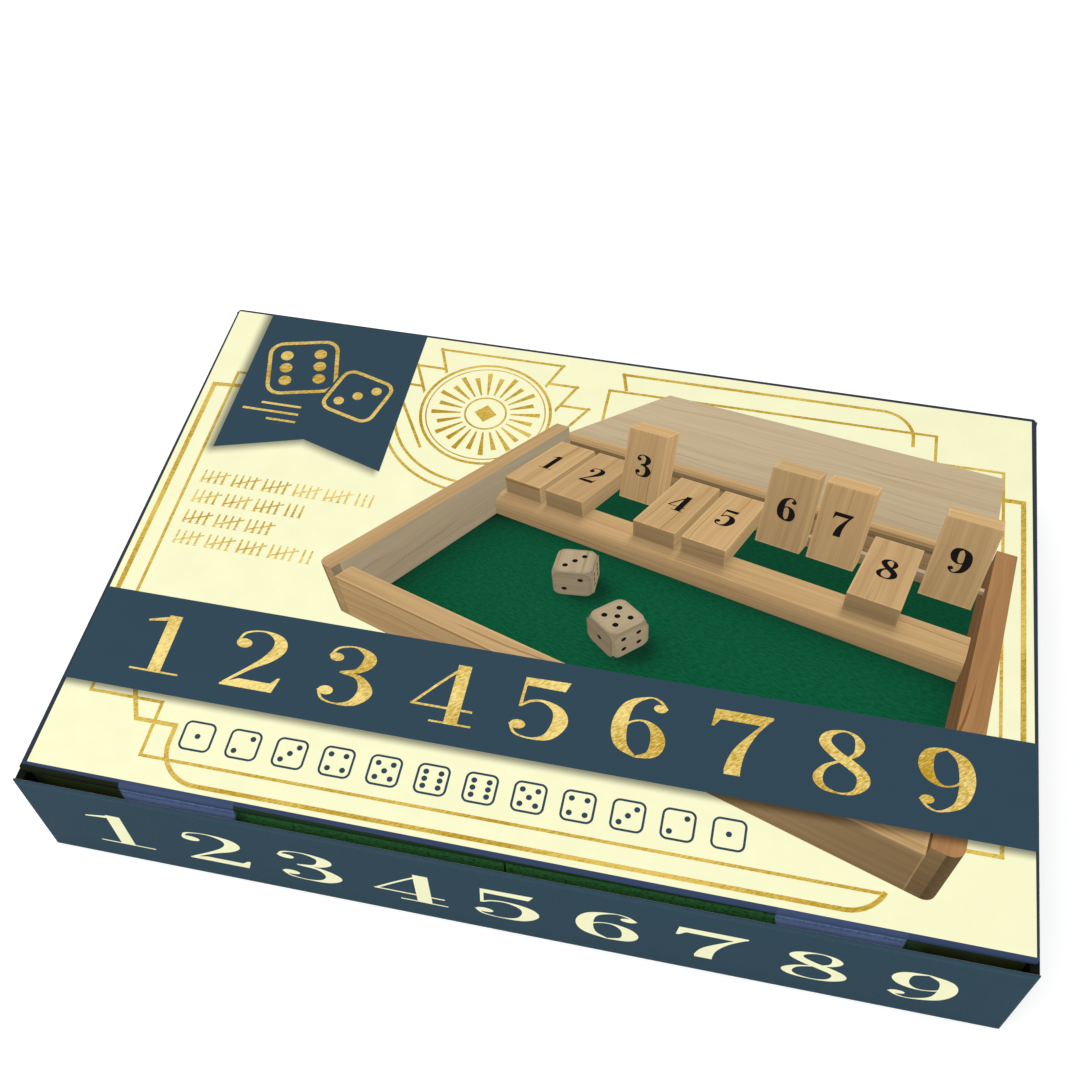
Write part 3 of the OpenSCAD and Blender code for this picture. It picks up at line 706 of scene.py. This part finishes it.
# the lid lies back on its far edge, inner face up, with a rounded near edge
lidLies = {"left": 13.0, "right": 281.0, "long": 152.0, "thick": 9.0, "hinge": (187.0, 40.0), "drop": 11.5}
slope = math.radians(lidLies["drop"])
downhill, skyward = np.array([0, math.cos(slope), -math.sin(slope)]), np.array([0, math.sin(slope), math.cos(slope)])
nearEdge = np.array([lidLies["left"], *lidLies["hinge"]])
lidWide = lidLies["right"] - lidLies["left"]
drawBlock(nearEdge - skyward * lidLies["thick"], [(lidWide, 0, 0), downhill * lidLies["long"], skyward * lidLies["thick"]], "palePicture", 0, 0.9)
drawOn(nearEdge, (1, 0, 0), downhill, cells(lidWide, lidLies["long"] - 1, 8, 6), "palePicture", lambda s, t: 0.91 - 0.10 * np.exp(-t / 22) + 0.05 * t / 150 - 0.02 * s / 270)
# back wall and sides
drawBlock((wall, inBack, 0), [(wide - 2 * wall, 0, 0), (0, wall, 0), (0, 0, 30)], "warmPicture", 0, 0.82)
drawOn((wall, inBack, 30), (1, 0, 0), (0, 1, 0), rect(0, 0, wide - 2 * wall, wall), "warmPicture", 0.36)
for k in range(7):
    turn = math.radians(-50 + 26 * k)
    facing = np.array([0, -math.cos(turn), math.sin(turn)])
    drawOn(nearEdge - skyward * 5 + facing * 5.5, (1, 0, 0), np.array([0, math.sin(turn + 0.1), math.cos(turn + 0.1)]), rect(0, 0, lidWide, 3.0), "warmPicture", 0.25 + 0.85 * max(float(facing @ lamp), 0) ** 0.8)
corner = tray["corner"]
ends = {"left": (0.0, 0.79, "palePicture"), "right": (wide - wall, 0.74, "redPicture")}
for name, (x, tint, finish) in ends.items():
    plan = [(wall, 0), (wall, deep), (0, deep), *arc(corner, corner, corner, 180, 270, 7)] if x == 0 else [(0, 0), *arc(wall - corner, corner, corner, -90, 0, 7), (wall, deep), (0, deep)]
    drawBlock((x, corner, 0), [(wall, 0, 0), (0, deep - corner, 0), (0, 0, high)], finish, 1, tint)
    turns = np.radians(np.linspace(180, 270, 7) if x == 0 else np.linspace(270, 360, 7))
    centre = np.array([corner if x == 0 else wide - corner, corner, 0])
    for a, b in zip(turns, turns[1:]):
        p, q = (centre + corner * np.array([math.cos(t), math.sin(t), 0]) for t in (a, b))
        middle = np.array([math.cos((a + b) / 2), math.sin((a + b) / 2), 0])
        if (pinhole - p) @ middle > 0:
            drawOn(p, (q - p) / np.linalg.norm(q - p), (0, 0, 1), rect(0, 0, np.linalg.norm(q - p), high), "warmPicture", (0.74 if x == 0 else 0.34) * lit(middle))
    front = (corner, wall) if x == 0 else (wide - wall, wide - corner)
    drawOn((front[0], 0, 0), (1, 0, 0), (0, 0, 1), rect(0, 0, front[1] - front[0], high), "warmPicture", lambda s, t, low=0.56 if x == 0 else 0.25: low + 0.10 * t / 42)
    drawOn((x, 0, high), (1, 0, 0), (0, 1, 0), [plan], "warmPicture" if x == 0 else "redPicture", 0.93 if x == 0 else 0.97, 1)
# tiles: the raised ones lean back a little, the others lie on the rail and shade it
raised = {3, 6, 7, 9}
tile = {"wide": 26.0, "long": 59.0, "thick": 15.0, "lean": 13.0, "front": 121.0, "numeral": 18.0, "tints": (1.0, 0.93, 1.04, 0.97, 1.05, 0.9, 1.02, 0.95, 1.0)}
rail = {"front": 112.0, "back": 133.0, "top": 20.0, "round": 9.0}
tileMiddles = {n: wide / 2 + (n - 5) * 30 for n in range(1, 10)}


def railShade(s, near):
    shade = 1.0
    for n in set(tileMiddles) - raised:
        off = s + wall - tileMiddles[n]
        under = np.clip((tile["wide"] / 2 + 1.5 - np.abs(off)) / 2, 0, 1)
        beside = np.where(off > tile["wide"] / 2, np.exp(-np.maximum(off - tile["wide"] / 2, 0) / 3.5), 0)
        shade = shade * (1 - near * np.maximum(0.42 * under, 0.34 * beside))
    return shade


# felt, darker beside the walls, under the tiles and round the dice
dice = {"size": 21.5, "at": ((92.0, 80.0, 24.0), (134.0, 54.0, -22.0)), "values": ((3, 6, 2), (5, 4, 1))}


def feltLight(s, t):
    light = 1 - 0.55 * np.exp(-s / 16) - 0.35 * np.exp(-t / 14) - 0.25 * np.exp(-(wide - 2 * wall - s) / 10)
    light = light - 0.45 * np.exp(-np.abs(t + wall - rail["front"]) / 9)
    for x, y, _ in dice["at"]:
        away = np.hypot(s + wall - x - 7, (t + wall - y + 1) * 1.15)
        light = light * (1 - 0.62 * np.exp(-np.maximum(away - 10, 0) / 5.5))
    return np.maximum(np.where(t + wall > rail["back"] - 2, 0.62, light), 0.16)


drawOn((wall, wall, tray["floor"]), (1, 0, 0), (0, 1, 0), cells(wide - 2 * wall, inBack - wall, 60, 40), "feltPicture", feltLight)
railLong = wide - 2 * wall
drawOn((wall, rail["front"], tray["floor"]), (1, 0, 0), (0, 0, 1), rect(0, 0, railLong, rail["top"] - rail["round"] - tray["floor"]), "warmPicture", lambda s, t: 0.42 + 0.02 * t)
steps = np.radians(np.linspace(0, 90, 9))
for a, b in zip(steps, steps[1:]):
    p, q = (np.array([wall, rail["front"] + rail["round"] * (1 - math.cos(t)), rail["top"] - rail["round"] * (1 - math.sin(t))]) for t in (a, b))
    up = (a + b) / 2
    bright = 0.50 + 0.52 * math.sin(up) ** 1.3 + 0.10 * math.exp(-((up - 0.95) / 0.16) ** 2)
    length = np.linalg.norm(q - p)
    drawOn(p, (1, 0, 0), (q - p) / length, cells(railLong, length, 136, 1), "warmPicture", lambda s, t, bright=bright, near=math.sin(up) ** 4: bright * railShade(s, near))
drawOn((wall, rail["front"] + rail["round"], rail["top"]), (1, 0, 0), (0, 1, 0), cells(railLong, rail["back"] - rail["front"] - rail["round"], 136, 1), "warmPicture", lambda s, t: 1.0 * railShade(s, 0.9))
drawBlock((wall, 166, 25), [(railLong, 0, 0), (0, 3, 0), (0, 0, 3)], "palePicture", 0, 0.8, 0.3)
lean = math.radians(tile["lean"])
for n in range(1, 10):
    x, tint = tileMiddles[n] - tile["wide"] / 2, tile["tints"][n - 1]
    if n in raised:
        upright, inward = np.array([0, math.sin(lean), math.cos(lean)]), np.array([0, math.cos(lean), -math.sin(lean)])
        start = np.array([x, 155, rail["top"]])
        drawBlock(start, [(tile["wide"], 0, 0), inward * tile["thick"], upright * tile["long"]], "warmPicture", 2, tint * 1.24)
        plane = (start, (1, 0, 0), upright)
    else:
        start = np.array([x, tile["front"], rail["top"]])
        drawBlock(start, [(tile["wide"], 0, 0), (0, tile["long"], 0), (0, 0, tile["thick"])], "warmPicture", 1, tint)
        plane = (start + (0, 0, tile["thick"]), (1, 0, 0), (0, 1, 0))
    drawOn(*plane, numeral(str(n), 7.6, 22, tile["numeral"], 1.0, 1.1, 0.05, 5), "inkPrint")
# dice: a rounded body, then its visible faces with pips
for (x, y, turn), values in zip(dice["at"], dice["values"]):
    size = dice["size"]
    c, s = math.cos(math.radians(turn)), math.sin(math.radians(turn))
    axes = np.array([(c, s, 0), (-s, c, 0), (0, 0, 1)])
    middle = np.array([x, y, tray["floor"] + size / 2])
    ball = np.stack(np.meshgrid(*[np.array([-1, 1]) * (size / 2 - 4)] * 3, indexing="ij"), -1).reshape(-1, 3) @ axes + middle
    rims = np.concatenate([onSheet(ball) + 4 * view["zoom"] / view["far"] * 1.1 * np.array([math.cos(t), math.sin(t)]) for t in np.linspace(0, 2 * math.pi, 24, endpoint=False)])
    ahead = rims[:, None] - rims[None]
    hull = [int(np.argmin(rims[:, 0]))]
    while len(hull) < 2 or hull[-1] != hull[0]:
        run = rims - rims[hull[-1]]
        side = run[:, None, 0] * run[None, :, 1] - run[:, None, 1] * run[None, :, 0]
        free = np.hypot(*run.T) > 1e-9
        hull.append(int(np.flatnonzero(free & (side[:, free] >= -1e-9).all(1))[0]))
    picture.append((rims[hull[:-1]], "palePicture", lambda places: np.column_stack([places * 3, np.full(len(places), 0.44)])))
    faces = [(2, 1, values[0])] + [(k, e, values[1 + k]) for k in (0, 1) for e in (-1, 1)]
    for k, e, value in faces:
        normal = axes[k] * e
        first = axes[1] if k == 0 else axes[0]
        second = axes[1] if k == 2 else axes[2]
        start = middle + normal * size / 2 - (first + second) * size / 2
        if (pinhole - start) @ normal <= 0:
            continue
        for grow, share in ((0.6, 0.80), (1.4, 0.92), (2.4, 1.0)):
            bright = (0.30 + 0.70 * share) * lit(normal) * 0.74
            drawOn(start, first, second, [roundRect(grow, grow, size - grow, size - grow, 4.6 - grow * 0.6, 5)], "palePicture", bright, int(k == 2))
        for px, py in pipPlaces[value]:
            drawOn(start, first, second, disc(size / 2 + px * 4.4, size / 2 + py * 4.4, 1.5, 12), "inkPrint")
# front wall, over what it hides
drawBlock((wall, 0, 0), [(wide - 2 * wall, 0, 0), (0, wall, 0), (0, 0, frontHigh)], "warmPicture", 0, 0.92)
drawOn((wall + 0.6, 0, 0.6), (1, 0, 0), (0, 0, 1), cells(wide - 2 * wall - 1.2, frontHigh - 2.0, 12, 3), "warmPicture", lambda s, t: 0.70 - 0.35 * (np.clip(s, 0, 270) / 270) ** 1.5 + 0.05 * t / 33)
lidLayers += picture

# Title band with numbers, and a row of dice under it
lidLayers += inked(rect(1.6, sheet["bandLow"], 299.3, sheet["bandHigh"]), "slatePrint")
title = {"left": 18.6, "right": 282.5, "foot": 43.4, "high": 21.5, "wide": 1.5}
for n in range(9):
    x = title["left"] + n * (title["right"] - title["left"] - 0.6 * title["high"] * title["wide"]) / 8
    lidLayers += inked(numeral(str(n + 1), x, title["foot"], title["high"], title["wide"], 0.82, 0.026), "goldLeaf")
diceRow = {"left": 45.5, "right": 217.0, "middle": 24.5, "size": 9.4}
for k, value in enumerate((1, 2, 3, 4, 5, 6, 6, 5, 4, 3, 2, 1)):
    x = diceRow["left"] + diceRow["size"] / 2 + k * (diceRow["right"] - diceRow["left"] - diceRow["size"]) / 11
    lidLayers += inked(dieFace(value, x, diceRow["middle"], diceRow["size"], 0.7), "slatePrint")
printPlates("lidPrint", lidLayers, lidSeat, "carton_lid")
print("lid print drawn:", len(lidLayers), "outlines")

# ---- prints on the walls ----

wallTitle = {"left": 17.5, "right": 284.0, "foot": 11.4, "high": 20.8, "wide": 1.75}
for name, seat in (("front", frontSeat), ("back", ((150, backY, 0), (-1, 0, 0), (0, 0, 1)))):
    layers = []
    for n in range(9):
        x = wallTitle["left"] + n * (wallTitle["right"] - wallTitle["left"] - 0.6 * wallTitle["high"] * wallTitle["wide"]) / 8
        layers += inked(numeral(str(n + 1), x, wallTitle["foot"], wallTitle["high"], wallTitle["wide"], 0.8, 0.024), "creamPrint")
    printPlates(name + "Print", layers, seat, "carton_tray")
for name, seat in (("rightEnd", ((150, frontY, 0), (0, 1, 0), (0, 0, 1))), ("leftEnd", ((-150, backY, 0), (0, -1, 0), (0, 0, 1)))):
    layers = []
    for k in range(6):
        layers += inked(dieFace(k + 1, 30 + k * 28.7, 21.5, 18, 1.1), "creamPrint")
    printPlates(name + "Print", layers, seat, "carton_tray")
print("wall prints drawn")


# ---- the carton's board ----

# Printed board: the print's colour on the outer faces, with painted light and shade from some of the picks, and bare
# board inside; colour and inside are given as builders
def boardMaterial(name, pick, bump=0.5, chips=0.26):
    def build(tree):
        place = placeInMm(tree)
        x, y, z = split(tree, place)
        cloud, tooth = useGroup(tree, paperTooth, {"Place": place})
        colour, bare, edge = pick(tree, place, x, y, z)
        tone = span(tree, cloud, 0.2, 0.8, 0.96, 1.02, "LINEAR")
        colour = mixed(tree, 1.0, colour, put(tree, "CombineColor", {0: tone, 1: tone, 2: tone}).outputs[0], "MULTIPLY")
        chip = useGroup(tree, edgeChips, {"Place": place, "Edge": edge, "Amount": chips})[0]
        colour = mixed(tree, chip, colour, inks["core"])
        fleck = span(tree, tooth, 0.35, 0.65, 0.90, 1.05, "LINEAR")
        board = mixed(tree, 1.0, inks["bareBoard"], put(tree, "CombineColor", {0: fleck, 1: fleck, 2: fleck}).outputs[0], "MULTIPLY")
        base = mixed(tree, bare, colour, board)
        rough = calc(tree, "MAXIMUM", span(tree, tooth, 0.3, 0.7, 0.50, 0.62), calc(tree, "MULTIPLY", calc(tree, "MAXIMUM", bare, chip), 0.85))
        return {"Base Color": base, "Roughness": rough, "Height": tooth, "Depth": 0.00003, "Bump": bump}
    return finishMaterial(name, build, Specular_IOR_Level=0.04)


def lidPick(tree, place, x, y, z):
    across = calc(tree, "MULTIPLY_ADD", y, 0.0046, x)
    ends = calc(tree, "MAXIMUM", span(tree, across, -147.95, -148.05), span(tree, across, 148.05, 148.15))
    fold = span(tree, calc(tree, "MULTIPLY_ADD", x, 0.004, y), -95.85, -95.95)
    rear = span(tree, calc(tree, "MULTIPLY_ADD", x, 0.0014, y), 100.3, 100.4)
    off = calc(tree, "ABSOLUTE", calc(tree, "ADD", x, 1.6))
    outer, overTab = span(tree, off, 115.8, 116.0), span(tree, off, 79.7, 80.0)
    nose = mixed(tree, calc(tree, "SUBTRACT", overTab, outer), inks["navy"], paint(61, 76, 108))
    border = mixed(tree, fold, paint(50, 57, 68), nose)
    edge = calc(tree, "MAXIMUM", calc(tree, "MAXIMUM", ends, fold), rear)
    light = useGroup(tree, printShadow, {"Place": place})[0]
    top = mixed(tree, 1.0, inks["cream"], put(tree, "CombineColor", {0: light, 1: light, 2: light}).outputs[0], "MULTIPLY")
    # the nose's lower part is painted with the dark, shaded colours of the slot behind it (tab blue, dark green,
    # near-black at the ends), up to a line that climbs to the left: painted shade
    down = calc(tree, "MULTIPLY_ADD", y, -2.4, calc(tree, "MULTIPLY_ADD", z, -1.8, calc(tree, "MULTIPLY", x, -0.0249)))
    shadedLip = calc(tree, "MULTIPLY", span(tree, down, 151.7, 152.4), span(tree, y, -96.0, -96.3))
    tab = mixed(tree, span(tree, x, -20.0, 20.0), paint(64, 79, 107), paint(78, 96, 130))
    under = mixed(tree, outer, mixed(tree, overTab, paint(30, 50, 32), tab), paint(26, 30, 20))
    colour = mixed(tree, shadedLip, mixed(tree, edge, top, border), under)
    bare = calc(tree, "MULTIPLY", span(tree, z, 44.95, 44.85), span(tree, y, -97.1, -97.0))
    rim = calc(tree, "MULTIPLY", span(tree, calc(tree, "ABSOLUTE", x), 147.0, 149.5), span(tree, calc(tree, "ABSOLUTE", y), 94.5, 97.5))
    return colour, bare, rim


def wallPick(tree, place, x, y, z):
    inY = span(tree, calc(tree, "ABSOLUTE", y), 100.75, 100.65)
    inX = span(tree, calc(tree, "ABSOLUTE", x), 149.85, 149.75)
    bare = calc(tree, "MULTIPLY", calc(tree, "MULTIPLY", inY, inX), span(tree, z, 1.0, 1.1))
    rim = calc(tree, "MULTIPLY", span(tree, calc(tree, "ABSOLUTE", x), 149.0, 150.0), span(tree, calc(tree, "ABSOLUTE", y), 101.0, 101.75))
    # the walls are painted a darker copy of the slate ink, painted shade against the light they catch; from 43.2 mm up
    # the lighter slate is painted in, painted light where the top comes out darker
    return mixed(tree, span(tree, z, 43.2, 44.0), inks["shadedSlate"], inks["slate"]), bare, rim


def sidePick(tree, place, x, y, z):
    # the side walls' inner faces and front ends beside the lid's nose are painted near-black: painted shade for the
    # dark slot at the corners
    notch = calc(tree, "MULTIPLY", span(tree, calc(tree, "ABSOLUTE", x), 149.75, 149.65), span(tree, y, -95.3, -95.4))
    rim = calc(tree, "MULTIPLY", span(tree, calc(tree, "ABSOLUTE", y), 99.6, 100.5), span(tree, z, 41.0, 44.5, 0.4, 1.0))
    return mixed(tree, notch, inks["shadedSlate"], paint(16, 18, 12)), 0.0, rim


def flapPick(tree, place, x, y, z):
    # The flaps stand in the shaded slot behind the front wall: over the real mottle their green is painted bright low
    # down and much darker towards the top, painted light and shade that even out the slot's light; the far ends and the
    # top edge under the nose are painted dark, painted shade
    far = span(tree, calc(tree, "ABSOLUTE", x), 110.0, 122.0)
    mottle = noise(tree, place, 0.8, 4.0, 0.7)
    green = mixed(tree, span(tree, mottle, 0.30, 0.55), inks["greenDark"], inks["green"])
    lift = span(tree, z, 38.5, 41.8, 0.8, 0.25, "LINEAR")
    green = mixed(tree, 1.0, green, put(tree, "CombineColor", {0: lift, 1: lift, 2: lift}).outputs[0], "MULTIPLY")
    colour = mixed(tree, far, green, inks["greenDark"])
    colour = mixed(tree, span(tree, z, 44.3, 44.4), colour, paint(24, 40, 26))
    bare = calc(tree, "MULTIPLY", span(tree, y, -95.2, -95.1), span(tree, y, 99.6, 99.5))
    return colour, bare, 0.0


def tabPick(tree, place, x, y, z):
    crease = noise(tree, place, 1.0, 4.0, 0.7, (1.3, 1.0, 0.35))
    colour = mixed(tree, span(tree, crease, 0.3, 0.7), paint(90, 112, 157), paint(124, 148, 196))
    # the tabs' blue is painted bright, and paler still from 42.6 mm down: painted light that evens out the shade in the
    # slot behind the front wall
    colour = mixed(tree, span(tree, z, 42.6, 39.9), colour, paint(165, 192, 250))
    return colour, span(tree, y, -96.8, -96.7), 0.0


boardFinishes = {
    "lidBoard": (boardMaterial("lidBoard", lidPick), ["carton_lid"]),
    "wallBoard": (boardMaterial("wallBoard", wallPick), ["carton_base", "carton_front_wall", "carton_back_wall"]),
    "sideBoard": (boardMaterial("sideBoard", sidePick), ["carton_left_wall", "carton_right_wall"]),
    "flapBoard": (boardMaterial("flapBoard", flapPick, 0.8), ["front_flap_left", "front_flap_right", "back_flap_left", "back_flap_right"]),
    "tabBoard": (boardMaterial("tabBoard", tabPick, 0.9), ["lock_tab_left", "lock_tab_right"]),
}


def coverNode(name, material):
    slots = cad[name].material_slots
    if slots:
        for one in slots:
            one.material = material
    else:
        cad[name].data.materials.append(material)


for material, names in boardFinishes.values():
    for name in names:
        coverNode(name, material)
print("carton boards covered")


# ---- the wooden game ----

# Solid wood; turn brings the grain from X to the board's own direction, pitch gives each board on a row its own cut
def woodMaterial(name, pale, dark, turn=0.0, spacing=4.0, pith=45.0, slope=0.02, swing=9.0, shift=(0, 0, 0), pitch=None, rough=0.42, ringShare=0.3):
    def build(tree):
        place = placeInMm(tree)
        x, y, z = split(tree, place)
        if pitch:
            number = calc(tree, "FLOOR", calc(tree, "ADD", calc(tree, "DIVIDE", x, pitch), 0.5))
            jump = put(tree, "CombineXYZ", {0: calc(tree, "MULTIPLY", number, 17.3), 1: calc(tree, "MULTIPLY", number, 131.7), 2: calc(tree, "MULTIPLY", number, 9.1)})
            place = put(tree, "VectorMath", {0: place, 1: jump.outputs[0]}, operation="ADD").outputs[0]
        place = put(tree, "Mapping", {"Vector": place, "Location": shift, "Rotation": (0, 0, math.radians(turn))}).outputs[0]
        rings, fibres, pores, blotch = useGroup(tree, woodGrain, {"Place": place, "Spacing": spacing, "Pith": pith, "Slope": slope, "Swing": swing})
        mark = calc(tree, "MULTIPLY_ADD", rings, ringShare, calc(tree, "MULTIPLY", fibres, 0.55))
        base = mixed(tree, span(tree, mark, 0.15, 0.9), pale, dark)
        shade = calc(tree, "MULTIPLY", span(tree, blotch, 0.25, 0.75, 0.90, 1.06), span(tree, pores, 0.0, 1.0, 1.0, 0.80))
        base = mixed(tree, 1.0, base, put(tree, "CombineColor", {0: shade, 1: shade, 2: shade}).outputs[0], "MULTIPLY")
        height = calc(tree, "SUBTRACT", calc(tree, "MULTIPLY", fibres, 0.7), calc(tree, "MULTIPLY", pores, 0.6))
        return {"Base Color": base, "Roughness": span(tree, fibres, 0.3, 0.7, rough - 0.04, rough + 0.08), "Height": height, "Depth": 0.00006, "Bump": 0.5}
    return finishMaterial(name, build, Specular_IOR_Level=0.4)


woods = {
    "lidWood": (dict(pale=paint(206, 189, 158), dark=paint(160, 138, 106), spacing=11.0, pith=30.0, slope=0.035, swing=30.0, shift=(0, 40, -40)), ["box_lid", "box_base"]),
    "sideWood": (dict(pale=paint(208, 172, 126), dark=paint(152, 112, 70), turn=90, spacing=5.0, pith=60.0, shift=(20, 10, 5)), ["box_left_side", "box_right_side"]),
    "frontWood": (dict(pale=paint(206, 168, 120), dark=paint(150, 108, 66), spacing=5.0, pith=70.0, slope=0.012, shift=(11, 60, 9)), ["box_front_wall", "box_back_wall"]),
    "railWood": (dict(pale=paint(222, 188, 138), dark=paint(178, 136, 88), spacing=4.0, pith=40.0, slope=0.015, shift=(31, 20, 3)), ["tile_ledge"]),
    "tileWood": (dict(pale=paint(216, 180, 130), dark=paint(160, 118, 70), turn=90, spacing=3.4, pith=22.0, slope=0.04, swing=8.0, pitch=30.0), [f"tile_{n}" for n in range(1, 10)]),
}
for name, (settings, covered) in woods.items():
    material = woodMaterial(name, **settings)
    for node in covered:
        coverNode(node, material)


# Turned wooden die: pale wood, with its pips stained dark where the surface goes below the rounded cube
def dieMaterial(name, middle, turn):
    def build(tree):
        place = placeInMm(tree)
        local = put(tree, "VectorMath", {0: place, 1: middle}, operation="SUBTRACT").outputs[0]
        local = put(tree, "Mapping", {"Vector": local, "Rotation": (0, 0, math.radians(-turn))}).outputs[0]
        x, y, z = split(tree, local)
        rings, fibres, pores, blotch = useGroup(tree, woodGrain, {"Place": local, "Spacing": 2.2, "Pith": 3.0, "Slope": 0.05, "Swing": 3.0})
        base = mixed(tree, span(tree, calc(tree, "MULTIPLY_ADD", rings, 0.35, calc(tree, "MULTIPLY", fibres, 0.5)), 0.15, 0.9), paint(205, 180, 143), paint(150, 122, 88))
        most = calc(tree, "MAXIMUM", calc(tree, "ABSOLUTE", x), calc(tree, "MAXIMUM", calc(tree, "ABSOLUTE", y), calc(tree, "ABSOLUTE", z)))
        reach = put(tree, "VectorMath", {0: local}, operation="LENGTH").outputs["Value"]
        pip = calc(tree, "MULTIPLY", span(tree, most, 7.96, 7.90), span(tree, reach, 11.3, 11.2))
        base = mixed(tree, pip, base, paint(34, 26, 21))
        return {"Base Color": base, "Roughness": span(tree, fibres, 0.3, 0.7, 0.44, 0.56), "Height": fibres, "Depth": 0.00005, "Bump": 0.4}
    return finishMaterial(name, build, Specular_IOR_Level=0.4)


for name, turn in (("die_1", 18.0), ("die_2", -24.0)):
    low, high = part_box(name)
    coverNode(name, dieMaterial(name + "Wood", tuple((low + high) / 2 / mm), turn))


def steelMaterial():
    def build(tree):
        place = placeInMm(tree)
        draw = noise(tree, place, 1.0, 3.0, 0.6, (0.05, 6.0, 6.0))
        base = mixed(tree, draw, paint(150, 148, 144), paint(205, 204, 200))
        return {"Base Color": base, "Roughness": span(tree, draw, 0.2, 0.8, 0.24, 0.42), "Height": draw, "Depth": 0.00001, "Bump": 0.4}
    return finishMaterial("drawnSteel", build, Metallic=1.0)


steel = steelMaterial()
for name in ("lid_pin_left", "lid_pin_right", "tile_rod"):
    coverNode(name, steel)
print("wood and steel covered")


# Felt: a fuzzy surface with a faint rib
def feltMaterial():
    def build(tree):
        place = placeInMm(tree)
        fuzz = noise(tree, place, 3.4, 4.0, 0.75)
        rib = noise(tree, place, 1.0, 2.0, 0.5, (0.5, 2.6, 0.5))
        cloud = noise(tree, place, 0.03, 2.0, 0.5)
        mark = calc(tree, "MULTIPLY_ADD", fuzz, 0.6, calc(tree, "MULTIPLY", rib, 0.4))
        base = mixed(tree, span(tree, mark, 0.3, 0.7), paint(2, 60, 38), paint(14, 106, 68))
        shade = span(tree, cloud, 0.3, 0.7, 0.93, 1.05)
        base = mixed(tree, 1.0, base, put(tree, "CombineColor", {0: shade, 1: shade, 2: shade}).outputs[0], "MULTIPLY")
        return {"Base Color": base, "Roughness": 0.95, "Height": mark, "Depth": 0.0004, "Bump": 0.8}
    return finishMaterial("greenFelt", build, Sheen_Weight=0.15, Sheen_Roughness=0.5, Specular_IOR_Level=0.1)


# Felt sheet on a grid: the top wanders by a few hundredths of a mm, and the rim is rounded down to the board
felt = {"step": 2.0, "wander": 0.05, "rim": 0.25}
low, high = (np.array(v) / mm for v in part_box("box_felt"))
countX, countY = int((high[0] - low[0]) / felt["step"]) + 1, int((high[1] - low[1]) / felt["step"]) + 1
gx, gy = np.meshgrid(np.linspace(low[0], high[0], countX), np.linspace(low[1], high[1], countY), indexing="ij")
rise = felt["wander"] * (np.sin(gx * 0.21 + 2 * np.sin(gy * 0.05)) * np.sin(gy * 0.17 + 1.3) - 1)
inset = np.minimum(np.minimum(gx - low[0], high[0] - gx), np.minimum(gy - low[1], high[1] - gy))
top = np.where(inset < 0.01, high[2] - felt["rim"], high[2] + rise)
points = np.concatenate([np.stack([gx, gy, top], 2).reshape(-1, 3), np.stack([gx, gy, np.full_like(gx, low[2])], 2).reshape(-1, 3)]) * mm
cell = np.arange(countX * countY).reshape(countX, countY)
quads = np.stack([cell[:-1, :-1], cell[1:, :-1], cell[1:, 1:], cell[:-1, 1:]], 2).reshape(-1, 4)
ring = np.concatenate([cell[:, 0], cell[-1, 1:], cell[-2::-1, -1], cell[0, -2:0:-1]])
following = np.roll(ring, -1)
under = countX * countY
walls = np.stack([ring, ring + under, following + under, following], 1)
feltMesh = bpy.data.meshes.new("feltSheet")
feltMesh.from_pydata(points.tolist(), [], quads.tolist() + (quads[:, ::-1] + under).tolist() + walls.tolist())
feltMesh.shade_smooth()
feltSheet = addPiece("feltSheet", feltMesh, feltMaterial(), "carton_tray")
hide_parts("box_felt")
print("felt laid")

# Numbers stamped on both broad faces of each tile, upright from the front whether it lies or stands
stamps = {"high": 12.0, "wide": 1.0, "heavy": 1.15, "hair": 0.055, "ahead": 21.0}
for n in range(1, 10):
    low, high = (np.array(v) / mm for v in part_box(f"tile_{n}"))
    middle = (low[0] + high[0]) / 2
    start = low[1] + stamps["ahead"] - stamps["high"] / 2
    outlines = inked(numeral(str(n), -0.3 * stamps["high"], 0, stamps["high"], stamps["wide"], stamps["heavy"], stamps["hair"], 5), "inkPrint")
    printPlates(f"numberTop_{n}", outlines, ((middle, start, high[2]), (1, 0, 0), (0, 1, 0)), f"tile_{n}")
    printPlates(f"numberUnder_{n}", outlines, ((middle, start + stamps["high"], low[2]), (1, 0, 0), (0, -1, 0)), f"tile_{n}")
print("tiles numbered")
